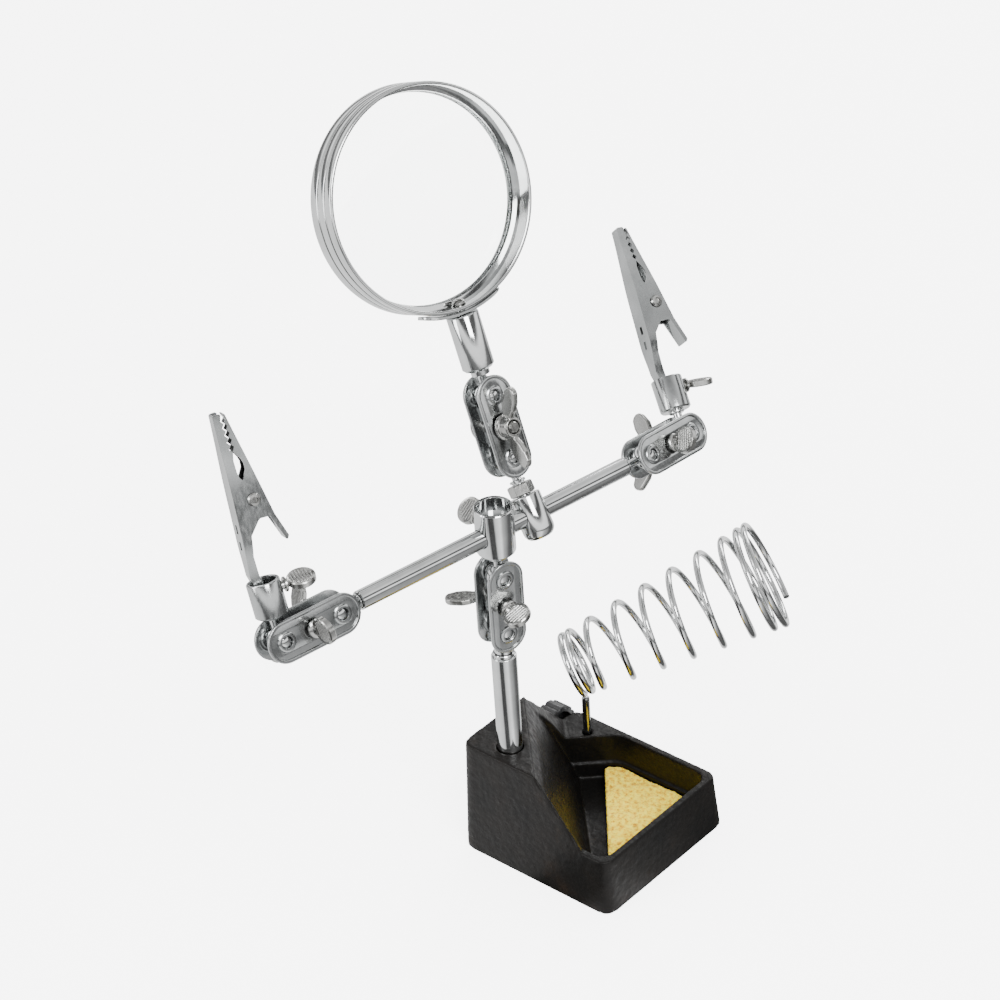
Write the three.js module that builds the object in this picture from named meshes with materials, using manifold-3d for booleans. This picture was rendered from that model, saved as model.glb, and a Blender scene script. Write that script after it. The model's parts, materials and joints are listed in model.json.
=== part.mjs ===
// Soldering iron station with helping hands: a cast base with a sponge tray, a conical coil that holds
// the iron, and a post whose ball joints carry a cross rod, two spring clips and a magnifier.
// Millimetres, +Z up. The origin is the centre of the base's underside.
import * as THREE from 'three';
import { mergeVertices } from 'three/addons/utils/BufferGeometryUtils.js';
import Module from 'manifold-3d';

const wasm = await Module();
wasm.setup();

const rad = THREE.MathUtils.degToRad;
const X_AXIS = new THREE.Vector3(1, 0, 0);
const Z_AXIS = new THREE.Vector3(0, 0, 1);

// ---------------------------------------------------------------- driving dimensions
const GAP = 0.3;                                  // clearance left between touching pieces

// Base
const BASE_X = 60;
const BASE_Y = 59;
const BLOCK_TOP = 39.1;                           // height of the post block
const RIM_TOP = 19;                               // height of the tray's rim
const DRAFT = 0.07;                               // lean of every wall but the knob's, per mm of height
const CORNER_R = 4;
const RIDGE_REACH = 33;                           // block corner to the ridge, along either edge
const SLOPE_REACH = 51;                           // block corner to the slope's foot on the rim
const TRAY_FOOT_REACH = 56;                       // block corner to the foot of the tray's back wall
const TRAY_FLOOR = 3;
const TRAY_LEDGE = 8.5;                           // height of the step in the tray's walls
const TRAY_STEP = 0.9;
const RIM_WALL = 2.3;
const SPONGE_THICK = 4;

// Post and the screw that holds it from below
const POST_XY = [-16.4, -18.9];
const POST_R = 4;
const POST_FOOT = 14;
const POST_TOP = 75.9;
const POST_SCREW_R = 2.4;
const COUNTERBORE_R = 6.2;
const COUNTERBORE_DEPTH = 7;

// Iron holder
const STEM_XY = [-19, 21];
const STEM_R = 1.3;
const STEM_FOOT = 8;
const STEM_TOP = 33.2;
const KNOB_Z = 14.6;
const KNOB_R = 8.3;
const KNOB_THICK = 6.4;
const KNOB_SCREW_R = 1.5;
const COIL_WIRE_R = 1.05;
const COIL_TURNS = 9.85;
const COIL_R_SMALL = 10;
const COIL_R_LARGE = 17.2;
const COIL_CLOSE_PITCH = 2.6;
const COIL_OPEN_PITCH = 10.3;
const COIL_END_PITCH = 2.7;
const COIL_OPENING = [1.4, 2.3];                  // turns over which the pitch opens out
const COIL_CLOSING = [6.2, 9.2];                  // turns over which it closes again
const COIL_AZIMUTH = 46.1;
const COIL_RISE = 23.5;
const COIL_START = [-25, 21.8, 42.6];             // centre of the smallest turn
const COIL_START_ANGLE = 151;                     // of the wire's start, from the turn's top

// Ball joints: two plates with a ball held at each end
const BALL_R = 4;
const BALL_SPACING = 20;
const PLATE_HALF_WIDTH = 6.3;
const PLATE_THICK = 1.1;
const PLATE_INNER = 3.1;                          // inner face of a plate from the balls' plane
const PLATE_OUTER = PLATE_INNER + PLATE_THICK;
const BALL_SEAT_R = 2.9;
const JOINT_SCREW_R = 1.9;
const NECK_R = 1.4;
const SHANK_R = 2;
const TAP_R = SHANK_R + GAP;
const SHOULDER_START = 6.7;
const PADDLE_R = 4.3;
const PADDLE_HALF_THICK = 1.1;
const WING_HALF_THICK = 0.85;

// Arms
const POST_BALL_Z = 84.2;
const POST_PLATES_TURN = -15;                     // way the post's joint faces, about Z
const CLAMP_RISE = 15.6;                          // upper post ball to the cross rod's axis
const CLAMP_R = 6.1;
const CLAMP_SCREW_RISE = 2.2;                     // above the rod's axis
const CLAMP_PADDLE_TURN = 47;
const ROD_TURN = 80.2;                            // way the cross rod points, about Z
const ROD_R = 3;
const ROD_HALF_SPAN = 60;                         // rod's middle to the ball beyond its end
const ROD_END = 8.3;                              // ball to the end of the rod
const LEFT_TILT = 19;
const LEFT_CLIP_SWING = -91;
const LEFT_CLIP_SPIN = 75.6;
const RIGHT_TILT = 31;
const RIGHT_BEND = 12;                            // lean of the plates from the rod's line
const RIGHT_CLIP_SWING = 75;
const RIGHT_CLIP_LEAN = -9;                       // lean of the clip from the plates' own plane
const RIGHT_CLIP_SPIN = 72.6;
const MAGNIFIER_CLAMP_OFFSET = 14.4;              // along the rod, from the post's clamp
const MAGNIFIER_CLAMP_R = 5;
const MAGNIFIER_LEAN = 34;
const MAGNIFIER_TILT = 12;
const MAGNIFIER_HEAD_SPIN = -3;
const MAGNIFIER_BALL_RISE = 18.7;

// Magnifier
const HANDLE_R = 5;
const HANDLE_START = 8.4;
const HANDLE_END = 26.2;
const LENS_RISE = 62.3;                           // upper ball to the middle of the lens ring
const RING_R = 34.5;
const RING_WALL = 1.2;
const RING_HALF_DEPTH = 6.2;
const RING_SETBACK = 1.8;                         // ring's middle behind the handle's axis
const LENS_R = 32.9;
const LENS_BACKSET = -2.7;
const HANDLE_SCREW_R = 1.25;

// Clips, measured from the rivet that joins the jaws
const COLLAR_START = 8;                           // ball to the collar's floor
const COLLAR_R = 5;
const COLLAR_BORE_R = 4;
const COLLAR_LENGTH = 10.8;
const COLLAR_SCREW_R = 1.3;
const COLLAR_PADDLE_TURN = 108;                   // turn of the paddle about its screw
const RIVET_OFFSET = 3.5;                         // rivet from the clip's axis, toward the moving jaw
const RIVET_RISE = 43.2;                          // rivet above the clip's ball
const RIVET_R = 1.2;
const FIXED_JAW_HALF_WIDTH = 3.5;
const MOVING_JAW_HALF_WIDTH = 2.6;
const JAW_SHEET = 0.6;

// ---------------------------------------------------------------- materials
function finish(color, roughness, metalness) {
  return new THREE.MeshStandardMaterial({ color, roughness, metalness });
}
const CAST = finish(0x2b2a28, 0.55, 0.4);
const CHROME = finish(0xd9dadb, 0.12, 1);
const STEEL = finish(0xb8babb, 0.3, 1);
const ZINC = finish(0xc3c4c2, 0.35, 1);
const SPRING_STEEL = finish(0x8d8f90, 0.35, 1);
const BLACK_PLASTIC = finish(0x1d1d1e, 0.5, 0);
const SPONGE = finish(0xe6cf7c, 0.95, 0);
const GLASS = new THREE.MeshStandardMaterial({
  color: 0xeef4f4, roughness: 0.03, metalness: 0, transparent: true, opacity: 0.3,
});

// ---------------------------------------------------------------- shape tools
// A closed solid for joining and cutting, from any closed geometry.
function solid(geometry) {
  const bare = geometry.index ? geometry.toNonIndexed() : geometry.clone();
  bare.deleteAttribute('normal');
  bare.deleteAttribute('uv');
  const welded = mergeVertices(bare, 1e-5);
  const mesh = new wasm.Mesh({
    numProp: 3,
    vertProperties: new Float32Array(welded.attributes.position.array),
    triVerts: new Uint32Array(welded.index.array),
  });
  return new wasm.Manifold(mesh);
}

function fromSolid(body) {
  const { vertProperties, triVerts } = body.getMesh();
  const geometry = new THREE.BufferGeometry();
  geometry.setAttribute('position', new THREE.BufferAttribute(vertProperties, 3));
  geometry.setIndex(new THREE.BufferAttribute(triVerts, 1));
  geometry.computeVertexNormals();
  return geometry;
}

// body + extra - cut1 - cut2 ...
const joined = (...parts) => fromSolid(parts.map(solid).reduce((a, b) => a.add(b)));
const carved = (body, ...cuts) => fromSolid(cuts.reduce((a, b) => a.subtract(solid(b)), solid(body)));

// A turned piece about Z. The [radius, z] profile runs upward, and is closed on the axis.
function turned(profile, segments = 16) {
  const points = profile.map(([r, z]) => new THREE.Vector2(r, z));
  return new THREE.LatheGeometry(points, segments).rotateX(Math.PI / 2);
}

const rod = (radius, z0, z1, segments = 16) =>
  turned([[0, z0], [radius, z0], [radius, z1], [0, z1]], segments);

const ring = (inner, outer, z0, z1, segments = 16) =>
  turned([[inner, z0], [outer, z0], [outer, z1], [inner, z1], [inner, z0]], segments);

// An outline in the XY plane, thickened from z0 to z1.
function slab(shape, z0, z1, curveSegments = 6) {
  const options = { depth: z1 - z0, bevelEnabled: false, curveSegments };
  return new THREE.ExtrudeGeometry(shape, options).translate(0, 0, z0);
}

// An outline drawn as [x, z] and thickened along Y, from -half to +half.
function sideSlab(outline, half) {
  const shape = new THREE.Shape(outline.map(([x, z]) => new THREE.Vector2(x, z)));
  return slab(shape, -half, half).rotateX(Math.PI / 2);
}

function block(x0, x1, y0, y1, z0, z1) {
  return new THREE.BoxGeometry(x1 - x0, y1 - y0, z1 - z0)
    .translate((x0 + x1) / 2, (y0 + y1) / 2, (z0 + z1) / 2);
}

// A polygon with each corner rounded to its own radius; points are [x, y, radius].
function roundedPolygon(points) {
  const shape = new THREE.Shape();
  points.forEach(([x, y, r], i) => {
    const [px, py] = points.at(i - 1);
    const [nx, ny] = points[(i + 1) % points.length];
    const here = new THREE.Vector2(x, y);
    const before = new THREE.Vector2(px, py).sub(here).normalize().multiplyScalar(r).add(here);
    const after = new THREE.Vector2(nx, ny).sub(here).normalize().multiplyScalar(r).add(here);
    if (i === 0) shape.moveTo(before.x, before.y);
    else shape.lineTo(before.x, before.y);
    shape.quadraticCurveTo(x, y, after.x, after.y);
  });
  return shape;
}

// A round wire of the given radius along a curve.
function wire(curve, radius, steps, sides) {
  const section = new THREE.Shape();
  for (let i = 0; i < sides; i += 1) {
    const angle = (i / sides) * 2 * Math.PI;
    const point = [radius * Math.cos(angle), radius * Math.sin(angle)];
    if (i === 0) section.moveTo(...point);
    else section.lineTo(...point);
  }
  return new THREE.ExtrudeGeometry(section, { steps, bevelEnabled: false, extrudePath: curve });
}

// ---------------------------------------------------------------- frames
// A frame has its own X and Z directions and an origin; Y completes it.
function frame(origin, x, z) {
  const y = new THREE.Vector3().crossVectors(z, x).normalize();
  return new THREE.Matrix4().makeBasis(x, y, z).setPosition(origin);
}

const along = (origin, direction, distance) => origin.clone().addScaledVector(direction, distance);
const turn = (vector, axis, degrees) => vector.clone().applyAxisAngle(axis, rad(degrees));

// Any frame whose Z runs in the given direction and whose X is closest to the hint.
function frameAlong(origin, z, hint) {
  const x = hint.clone().addScaledVector(z, -hint.dot(z)).normalize();
  return frame(origin, x, z);
}

const postBall = new THREE.Vector3(...POST_XY, POST_BALL_Z);
const postFacing = turn(X_AXIS, Z_AXIS, POST_PLATES_TURN);
const clampBall = along(postBall, Z_AXIS, BALL_SPACING);
const rodMiddle = along(clampBall, Z_AXIS, CLAMP_RISE);
const rodDirection = turn(X_AXIS, Z_AXIS, ROD_TURN);
const rodSide = new THREE.Vector3().crossVectors(rodDirection, Z_AXIS);

// One end of the cross rod: its ball, the plates beyond it and the clip's own axis.
function rodEnd(outward, { tilt, bend, swing, lean, spin }) {
  const rodBall = along(rodMiddle, outward, ROD_HALF_SPAN);
  const levelFacing = turn(rodSide, rodDirection, -tilt);
  const across = new THREE.Vector3().crossVectors(levelFacing, outward);
  const facing = turn(levelFacing, across, bend);
  const platesDirection = turn(outward, across, bend);
  const clipBall = along(rodBall, platesDirection, BALL_SPACING);
  const flatAxis = turn(platesDirection, facing, swing);
  const leanAxis = new THREE.Vector3().crossVectors(flatAxis, facing);
  const clipAxis = turn(flatAxis, leanAxis, lean);
  const jawSide = turn(turn(facing, leanAxis, lean), clipAxis, spin);
  return { outward, platesDirection, rodBall, facing, clipBall, clipAxis, jawSide };
}
const leftEnd = rodEnd(rodDirection.clone().negate(), {
  tilt: LEFT_TILT, bend: 0, swing: LEFT_CLIP_SWING, lean: 0, spin: LEFT_CLIP_SPIN,
});
const rightEnd = rodEnd(rodDirection, {
  tilt: RIGHT_TILT, bend: RIGHT_BEND, swing: RIGHT_CLIP_SWING, lean: RIGHT_CLIP_LEAN, spin: RIGHT_CLIP_SPIN,
});

const magnifierClamp = along(rodMiddle, rodDirection, MAGNIFIER_CLAMP_OFFSET);
const magnifierStem = turn(Z_AXIS, rodDirection, -MAGNIFIER_LEAN);
const magnifierLowerBall = along(magnifierClamp, magnifierStem, MAGNIFIER_BALL_RISE);
const acrossStem = turn(rodSide, rodDirection, -MAGNIFIER_LEAN);
const magnifierFacing = turn(acrossStem, rodDirection, MAGNIFIER_TILT);
const magnifierArm = turn(magnifierStem, rodDirection, MAGNIFIER_TILT);
const magnifierUpperBall = along(magnifierLowerBall, magnifierArm, BALL_SPACING);
const headFacing = turn(magnifierFacing, magnifierArm, MAGNIFIER_HEAD_SPIN);

// ---------------------------------------------------------------- base
// Distance from the block's outer corner, summed along both edges, sets the slopes: each slope is a
// prism whose outline is drawn across the diagonal that runs from the block to the tray.
function acrossDiagonal(outline) {
  const half = BASE_X * 1.5;
  const scaled = outline.map(([reach, z]) => [reach / Math.SQRT2, z]);
  return sideSlab(scaled, half).rotateZ(Math.PI / 4).translate(-BASE_X / 2, -BASE_Y / 2, 0);
}

function baseOutline(inset, radius) {
  const x = BASE_X / 2 - inset;
  const y = BASE_Y / 2 - inset;
  return roundedPolygon([[-x, -y, radius], [x, -y, radius], [x, y, radius], [-x, y, radius]]);
}

function leanIn(geometry) {
  const position = geometry.attributes.position;
  for (let i = 0; i < position.count; i += 1) {
    const lean = DRAFT * position.getZ(i);
    const x = position.getX(i);
    const y = position.getY(i);
    if (x > 0) position.setX(i, x * (1 - lean / (BASE_X / 2)));
    position.setY(i, y * (1 - lean / (BASE_Y / 2)));
  }
  return geometry;
}

// The tray's outline, with the corner by the iron holder cut off to leave a boss for its stem.
function trayPocket(inset, floor) {
  const x = BASE_X / 2 - DRAFT * RIM_TOP - RIM_WALL - inset;
  const y = BASE_Y / 2 - DRAFT * RIM_TOP - RIM_WALL - inset;
  const bossX = -9.7 + inset * 0.4;
  const bossY = 10.3 - inset * 0.43;
  const outline = roundedPolygon([
    [-x, -y, 2], [x, -y, 5], [x, y, 5], [bossX, y, 3.5], [-x, bossY, 3.5],
  ]);
  return slab(outline, floor, BLOCK_TOP + 5, 4);
}

function basePiece() {
  const body = solid(leanIn(slab(baseOutline(0, CORNER_R), 0, BLOCK_TOP, 5)));
  const rimSlope = acrossDiagonal([
    [RIDGE_REACH, BLOCK_TOP], [SLOPE_REACH, RIM_TOP], [200, RIM_TOP], [200, 60], [RIDGE_REACH, 60],
  ]);
  const trayRoom = acrossDiagonal([
    [RIDGE_REACH + 1.2, BLOCK_TOP], [TRAY_FOOT_REACH, TRAY_FLOOR], [200, TRAY_FLOOR], [200, 60],
    [RIDGE_REACH + 1.2, 60],
  ]);
  const upperTray = solid(trayPocket(0, TRAY_LEDGE)).intersect(solid(trayRoom));
  const lowerTray = solid(trayPocket(TRAY_STEP, TRAY_FLOOR)).intersect(solid(trayRoom));
  const [px, py] = POST_XY;
  const [sx, sy] = STEM_XY;
  const bores = [
    rod(COUNTERBORE_R, -1, COUNTERBORE_DEPTH, 24).translate(px, py, 0),
    rod(POST_SCREW_R + GAP, 0, POST_FOOT + 1, 16).translate(px, py, 0),
    rod(POST_R + GAP, POST_FOOT, BLOCK_TOP + 1, 24).translate(px, py, 0),
    rod(STEM_R + GAP, STEM_FOOT - GAP, RIM_TOP + 1, 16).translate(sx, sy, 0),
    rod(KNOB_SCREW_R + GAP, -BASE_X, sx, 12).rotateY(Math.PI / 2).translate(0, sy, KNOB_Z),
  ];
  const pocketed = body.subtract(solid(rimSlope)).subtract(upperTray).subtract(lowerTray);
  return fromSolid(bores.reduce((a, b) => a.subtract(solid(b)), pocketed));
}

function spongePiece() {
  const x = BASE_X / 2 - DRAFT * RIM_TOP - RIM_WALL - TRAY_STEP - GAP - 0.2;
  const y = BASE_Y / 2 - DRAFT * RIM_TOP - RIM_WALL - TRAY_STEP - GAP - 0.2;
  const outline = roundedPolygon([[-9.2, y, 1], [-12.4, y - 3.4, 1], [x - 0.3, 2.4 - y, 1.5], [x, y, 6]]);
  return slab(outline, TRAY_FLOOR + GAP, TRAY_FLOOR + GAP + SPONGE_THICK, 4);
}

// ---------------------------------------------------------------- post
function postPiece() {
  const boreTop = POST_TOP - 9.5;
  const screwBore = POST_FOOT + 14;
  const tube = turned([
    [0, POST_FOOT + GAP], [POST_R, POST_FOOT + GAP], [POST_R, POST_TOP - 1.4],
    [POST_R - 0.6, POST_TOP - 1.1], [POST_R - 0.6, POST_TOP], [0, POST_TOP],
  ], 24);
  return carved(tube, rod(TAP_R, boreTop, POST_TOP + 1), rod(POST_SCREW_R + GAP, 0, screwBore));
}

function postScrewPiece() {
  const headTop = COUNTERBORE_DEPTH - 1 - 2 * GAP;
  const tip = POST_FOOT + 13;
  const screw = turned([
    [0, headTop - 3], [3.6, headTop - 3], [4.2, headTop - 2], [4.2, headTop],
    [POST_SCREW_R, headTop], [POST_SCREW_R, tip], [0, tip],
  ], 20);
  return carved(screw, block(-5, 5, -0.5, 0.5, headTop - 4, headTop - 1.8));
}

// ---------------------------------------------------------------- iron holder
// Axial travel per turn: close turns at both ends, open turns between them.
function coilPitch(turnCount) {
  const opening = THREE.MathUtils.smoothstep(turnCount, ...COIL_OPENING);
  const closing = THREE.MathUtils.smoothstep(turnCount, ...COIL_CLOSING);
  const opened = THREE.MathUtils.lerp(COIL_CLOSE_PITCH, COIL_OPEN_PITCH, opening);
  return opened + (COIL_END_PITCH - COIL_OPEN_PITCH) * closing;
}

function coilPiece() {
  const stepsPerTurn = 14;
  const steps = Math.round(COIL_TURNS * stepsPerTurn);
  const travel = [0];
  for (let i = 1; i <= steps; i += 1) {
    const pitch = coilPitch((i - 0.5) / stepsPerTurn);
    travel.push(travel[i - 1] + pitch / stepsPerTurn);
  }
  const points = travel.map((distance, i) => {
    const radius = THREE.MathUtils.lerp(COIL_R_SMALL, COIL_R_LARGE, distance / travel[steps]);
    const angle = rad(COIL_START_ANGLE) - (i / stepsPerTurn) * 2 * Math.PI;
    return new THREE.Vector3(radius * Math.cos(angle), radius * Math.sin(angle), distance);
  });
  return wire(new THREE.CatmullRomCurve3(points), COIL_WIRE_R, steps, 6);
}

function coilFrame() {
  const level = turn(X_AXIS, Z_AXIS, COIL_AZIMUTH);
  const side = new THREE.Vector3().crossVectors(level, Z_AXIS);
  const axis = turn(level, side, COIL_RISE);
  return frameAlong(new THREE.Vector3(...COIL_START), axis, Z_AXIS);
}

function knobPiece() {
  const outline = new THREE.Shape();
  const flutes = 12;
  const pointsPerFlute = 4;
  for (let i = 0; i < flutes * pointsPerFlute; i += 1) {
    const angle = (i / (flutes * pointsPerFlute)) * 2 * Math.PI;
    const radius = KNOB_R - (i % pointsPerFlute === 0 ? 0.7 : 0);
    const point = [radius * Math.cos(angle), radius * Math.sin(angle)];
    if (i === 0) outline.moveTo(...point);
    else outline.lineTo(...point);
  }
  return carved(
    slab(outline, 0, KNOB_THICK),
    ring(3.2, KNOB_R - 1.9, KNOB_THICK - 3.6, KNOB_THICK + 1, 20),
    rod(KNOB_SCREW_R + GAP, 1.8, KNOB_THICK + 1, 12),
  );
}

// ---------------------------------------------------------------- ball joint pieces
// A ball at the origin on a stud that runs along +Z: neck, shoulder, then a threaded shank.
function ballStud({ shoulderStart = SHOULDER_START, shoulderEnd, shoulderR = 2.9, shankEnd }) {
  const profile = [];
  const neckAngle = Math.asin(NECK_R / BALL_R);
  const rows = 7;
  for (let i = 0; i <= rows; i += 1) {
    const angle = (i / rows) * (Math.PI - neckAngle);
    profile.push([BALL_R * Math.sin(angle), -BALL_R * Math.cos(angle)]);
  }
  profile[0][0] = 0;
  profile.push([NECK_R, shoulderStart], [shoulderR, shoulderStart], [shoulderR, shoulderEnd]);
  profile.push([SHANK_R, shoulderEnd], [SHANK_R, shankEnd], [0, shankEnd]);
  return turned(profile, 16);
}

// One side plate, in the joint's frame: balls at x = 0 and x = BALL_SPACING, faces across Z.
function platePiece(z0) {
  const outline = new THREE.Shape();
  outline.absarc(BALL_SPACING, 0, PLATE_HALF_WIDTH, -Math.PI / 2, Math.PI / 2, false);
  outline.absarc(0, 0, PLATE_HALF_WIDTH, Math.PI / 2, Math.PI * 1.5, false);
  const holes = [[0, BALL_SEAT_R], [BALL_SPACING, BALL_SEAT_R], [BALL_SPACING / 2, JOINT_SCREW_R + GAP]];
  holes.forEach(([x, radius]) => {
    const hole = new THREE.Path();
    hole.absarc(x, 0, radius, 0, 2 * Math.PI, true);
    outline.holes.push(hole);
  });
  return slab(outline, z0, z0 + PLATE_THICK, 7);
}

// The paddle of a thumb screw, standing on its shank along +Z. Its faces look along Y.
function paddle(z) {
  return rod(PADDLE_R, -PADDLE_HALF_THICK, PADDLE_HALF_THICK, 20).rotateX(Math.PI / 2).translate(0, 0, z);
}

function thumbScrew(tip, seat, shankRadius) {
  const shank = turned([
    [0, tip], [shankRadius, tip], [shankRadius, seat], [shankRadius + 1, seat],
    [shankRadius + 1, seat + 0.8], [shankRadius, seat + 0.8], [shankRadius, seat + 3.4], [0, seat + 3.4],
  ], 12);
  return joined(shank, paddle(seat + PADDLE_R + 0.3));
}

// Wing nut on the -Z side of a joint, its wings spread along X.
function wingNut() {
  const seat = -PLATE_OUTER - GAP;
  const hub = turned([
    [0, seat - 4.4], [2.9, seat - 4.4], [3.4, seat - 1], [4.2, seat - 0.8], [4.2, seat], [0, seat],
  ], 16);
  const wing = new THREE.Shape();
  wing.moveTo(1, seat - 1);
  wing.lineTo(4.2, seat - 1);
  wing.quadraticCurveTo(8.4, seat - 1.4, 11, seat - 3.6);
  wing.quadraticCurveTo(13.2, seat - 6.4, 10.8, seat - 8.8);
  wing.quadraticCurveTo(6.2, seat - 8.2, 3, seat - 4.2);
  wing.lineTo(1, seat - 4.2);
  const one = slab(wing, -WING_HALF_THICK, WING_HALF_THICK, 4).rotateX(Math.PI / 2);
  const other = one.clone().rotateZ(Math.PI);
  return carved(joined(hub, one, other), rod(JOINT_SCREW_R + GAP, seat - 5, seat + 1, 12));
}

// ---------------------------------------------------------------- clamps and rods
function rodClampPiece() {
  const bottom = -6.6;
  const top = 9.3;
  const barrel = turned([
    [0, bottom - 1.8], [3.6, bottom - 1.8], [4.4, bottom - 0.9],
    [4.8, bottom - 0.5], [CLAMP_R, bottom + 0.6],
    [CLAMP_R, top], [0, top],
  ], 28);
  return carved(
    barrel,
    rod(CLAMP_R - 1.2, 4.6, top + 1, 24),
    rod(TAP_R, bottom - 3, 0, 16),
    rod(ROD_R + GAP, -20, 20, 24).rotateX(Math.PI / 2),
    rod(TAP_R, 0, 20, 12).rotateY(-Math.PI / 2).translate(0, 0, CLAMP_SCREW_RISE),
  );
}

function crossRodPiece() {
  const half = ROD_HALF_SPAN - ROD_END;
  const lowTap = rod(TAP_R, -half - 1, -half + 9);
  const highTap = rod(TAP_R, half - 9, half + 1);
  return carved(rod(ROD_R, -half, half, 20), lowTap, highTap);
}

function magnifierClampPiece() {
  const r = MAGNIFIER_CLAMP_R;
  const barrel = turned([[0, -8], [r - 1.6, -7.7], [r - 0.4, -6.4], [r, -5], [r, 6], [0, 6]], 24);
  return carved(
    barrel,
    rod(TAP_R, 0, 8, 16),
    rod(ROD_R + GAP, -20, 20, 24).rotateX(Math.PI / 2),
  );
}

function lockNutPiece() {
  const hexagon = rod(4.05, 6.3, 9.9, 6);
  return carved(hexagon, rod(TAP_R, 5, 11, 16));
}

// ---------------------------------------------------------------- magnifier
function handlePiece() {
  const barrel = turned([
    [0, HANDLE_START], [HANDLE_R - 1, HANDLE_START], [HANDLE_R, HANDLE_START + 1],
    [HANDLE_R, HANDLE_END], [0, HANDLE_END],
  ], 24);
  return carved(barrel, rod(TAP_R, 7, 15), rod(HANDLE_SCREW_R + GAP, HANDLE_END - 7, HANDLE_END + 1, 12));
}

// In the ring's frame: Z is the lens's axis and -X points down the handle.
function handleScrewHole() {
  return rod(HANDLE_SCREW_R + GAP, 30, 40, 12).rotateY(-Math.PI / 2).translate(0, 0, RING_SETBACK);
}

function lensRingPiece() {
  const d = RING_HALF_DEPTH;
  const inner = RING_R - RING_WALL;
  const seat = LENS_BACKSET + 1.3;
  const profile = [
    [inner, -d], [RING_R, -d], [RING_R, -2.2], [RING_R - 0.35, -1.9], [RING_R - 0.35, -1.3], [RING_R, -1],
    [RING_R, 1.6], [RING_R - 0.35, 1.9], [RING_R - 0.35, 2.5], [RING_R, 2.8], [RING_R, d],
    [inner, d], [inner, seat + 0.6], [inner - 1.5, seat + 0.6],
    [inner - 1.5, seat], [inner, seat], [inner, -d],
  ];
  return carved(turned(profile, 48), handleScrewHole());
}

function lensPiece() {
  const edge = 1;
  const bulge = 2.3;
  const profile = [];
  const rows = 6;
  for (let i = 0; i <= rows; i += 1) {
    const r = (LENS_R * i) / rows;
    profile.push([r, -edge - bulge * (1 - (i / rows) ** 2)]);
  }
  for (let i = rows; i >= 0; i -= 1) {
    const r = (LENS_R * i) / rows;
    profile.push([r, edge + bulge * (1 - (i / rows) ** 2)]);
  }
  return turned(profile, 48).translate(0, 0, LENS_BACKSET);
}

function saddlePiece() {
  const inner = RING_R + GAP;
  const outer = inner + 1.1;
  const reach = rad(23);
  const strip = new THREE.Shape();
  strip.absarc(0, 0, outer, Math.PI - reach, Math.PI + reach, false);
  strip.absarc(0, 0, inner, Math.PI + reach, Math.PI - reach, true);
  const band = slab(strip, RING_SETBACK - 3.8, RING_SETBACK + 3.8, 12);
  return carved(band, handleScrewHole());
}

// Screw from inside the ring, through the ring and saddle, down into the handle.
function handleScrewPiece() {
  const inner = RING_R - RING_WALL - GAP;
  const tip = LENS_RISE - HANDLE_END + 6;
  const screw = turned([
    [0, inner - 1.3], [1.5, inner - 1.3], [2.1, inner - 0.7], [2.1, inner], [HANDLE_SCREW_R, inner],
    [HANDLE_SCREW_R, tip], [0, tip],
  ], 12);
  const slot = block(-3, 3, -0.3, 0.3, inner - 2, inner - 0.7);
  return carved(screw, slot).rotateY(-Math.PI / 2).translate(0, 0, RING_SETBACK);
}

// ---------------------------------------------------------------- spring clips
// Outlines are [x, z] from the rivet: +X toward the moving jaw, +Z toward the tips.
const TOOTH = 2.1;
const TEETH = 5;
const TOOTH_DEPTH = 0.8;

function toothEdge(x, z0, depth, rising) {
  const points = [];
  for (let i = 0; i < TEETH; i += 1) {
    points.push([x, z0 + i * TOOTH], [x + depth, z0 + (i + 0.5) * TOOTH]);
  }
  return rising ? points : points.reverse();
}

// Jaws narrow toward the tips, and the fixed jaw's tail narrows to enter the collar.
function taperJaw(geometry, tail) {
  const position = geometry.attributes.position;
  for (let i = 0; i < position.count; i += 1) {
    const z = position.getZ(i);
    const toTip = THREE.MathUtils.smoothstep(z, 2, 27) * 0.45;
    const toTail = tail * THREE.MathUtils.smoothstep(-z, 12, 23) * 0.42;
    position.setY(i, position.getY(i) * (1 - toTip - toTail));
  }
  return geometry;
}

function channel(outer, inner, half) {
  return carved(sideSlab(outer, half), sideSlab(inner, half - JAW_SHEET));
}

const rivetBore = () => rod(RIVET_R + GAP, -6, 6, 12).rotateX(Math.PI / 2);

function fixedJawPiece() {
  const tailEnd = -32.5;
  const ear = [];
  for (let i = 0; i <= 8; i += 1) {
    const angle = rad(-62 + (i / 8) * 124);
    ear.push([-3.3 + 6.3 * Math.cos(angle), -0.7 + 6.3 * Math.sin(angle)]);
  }
  const backTip = [-4.6, 26.2];
  const backBend = [-7.2, -22];
  const tailBack = -6.5;
  const outer = [
    [tailBack, tailEnd], [-4.2, tailEnd], [-4.2, -25], [-4.6, -16], [-3.4, -9],
    ...ear, [-2.4, 8], [-2.4, 12.4], [-1.9, 14.3],
    ...toothEdge(-1.9, 14.8, -TOOTH_DEPTH, true), [-2.1, 26.2],
    backTip, backBend, [tailBack, -25],
  ];
  const inner = [
    [tailBack + JAW_SHEET, tailEnd - 1], [6, tailEnd - 1], [6, 27.5], [backTip[0] + JAW_SHEET, 27.5],
    [backBend[0] + JAW_SHEET, -21.8], [tailBack + JAW_SHEET, -25],
  ];
  const jaw = channel(outer, inner, FIXED_JAW_HALF_WIDTH);
  return taperJaw(carved(jaw, rivetBore()), 1);
}

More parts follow.
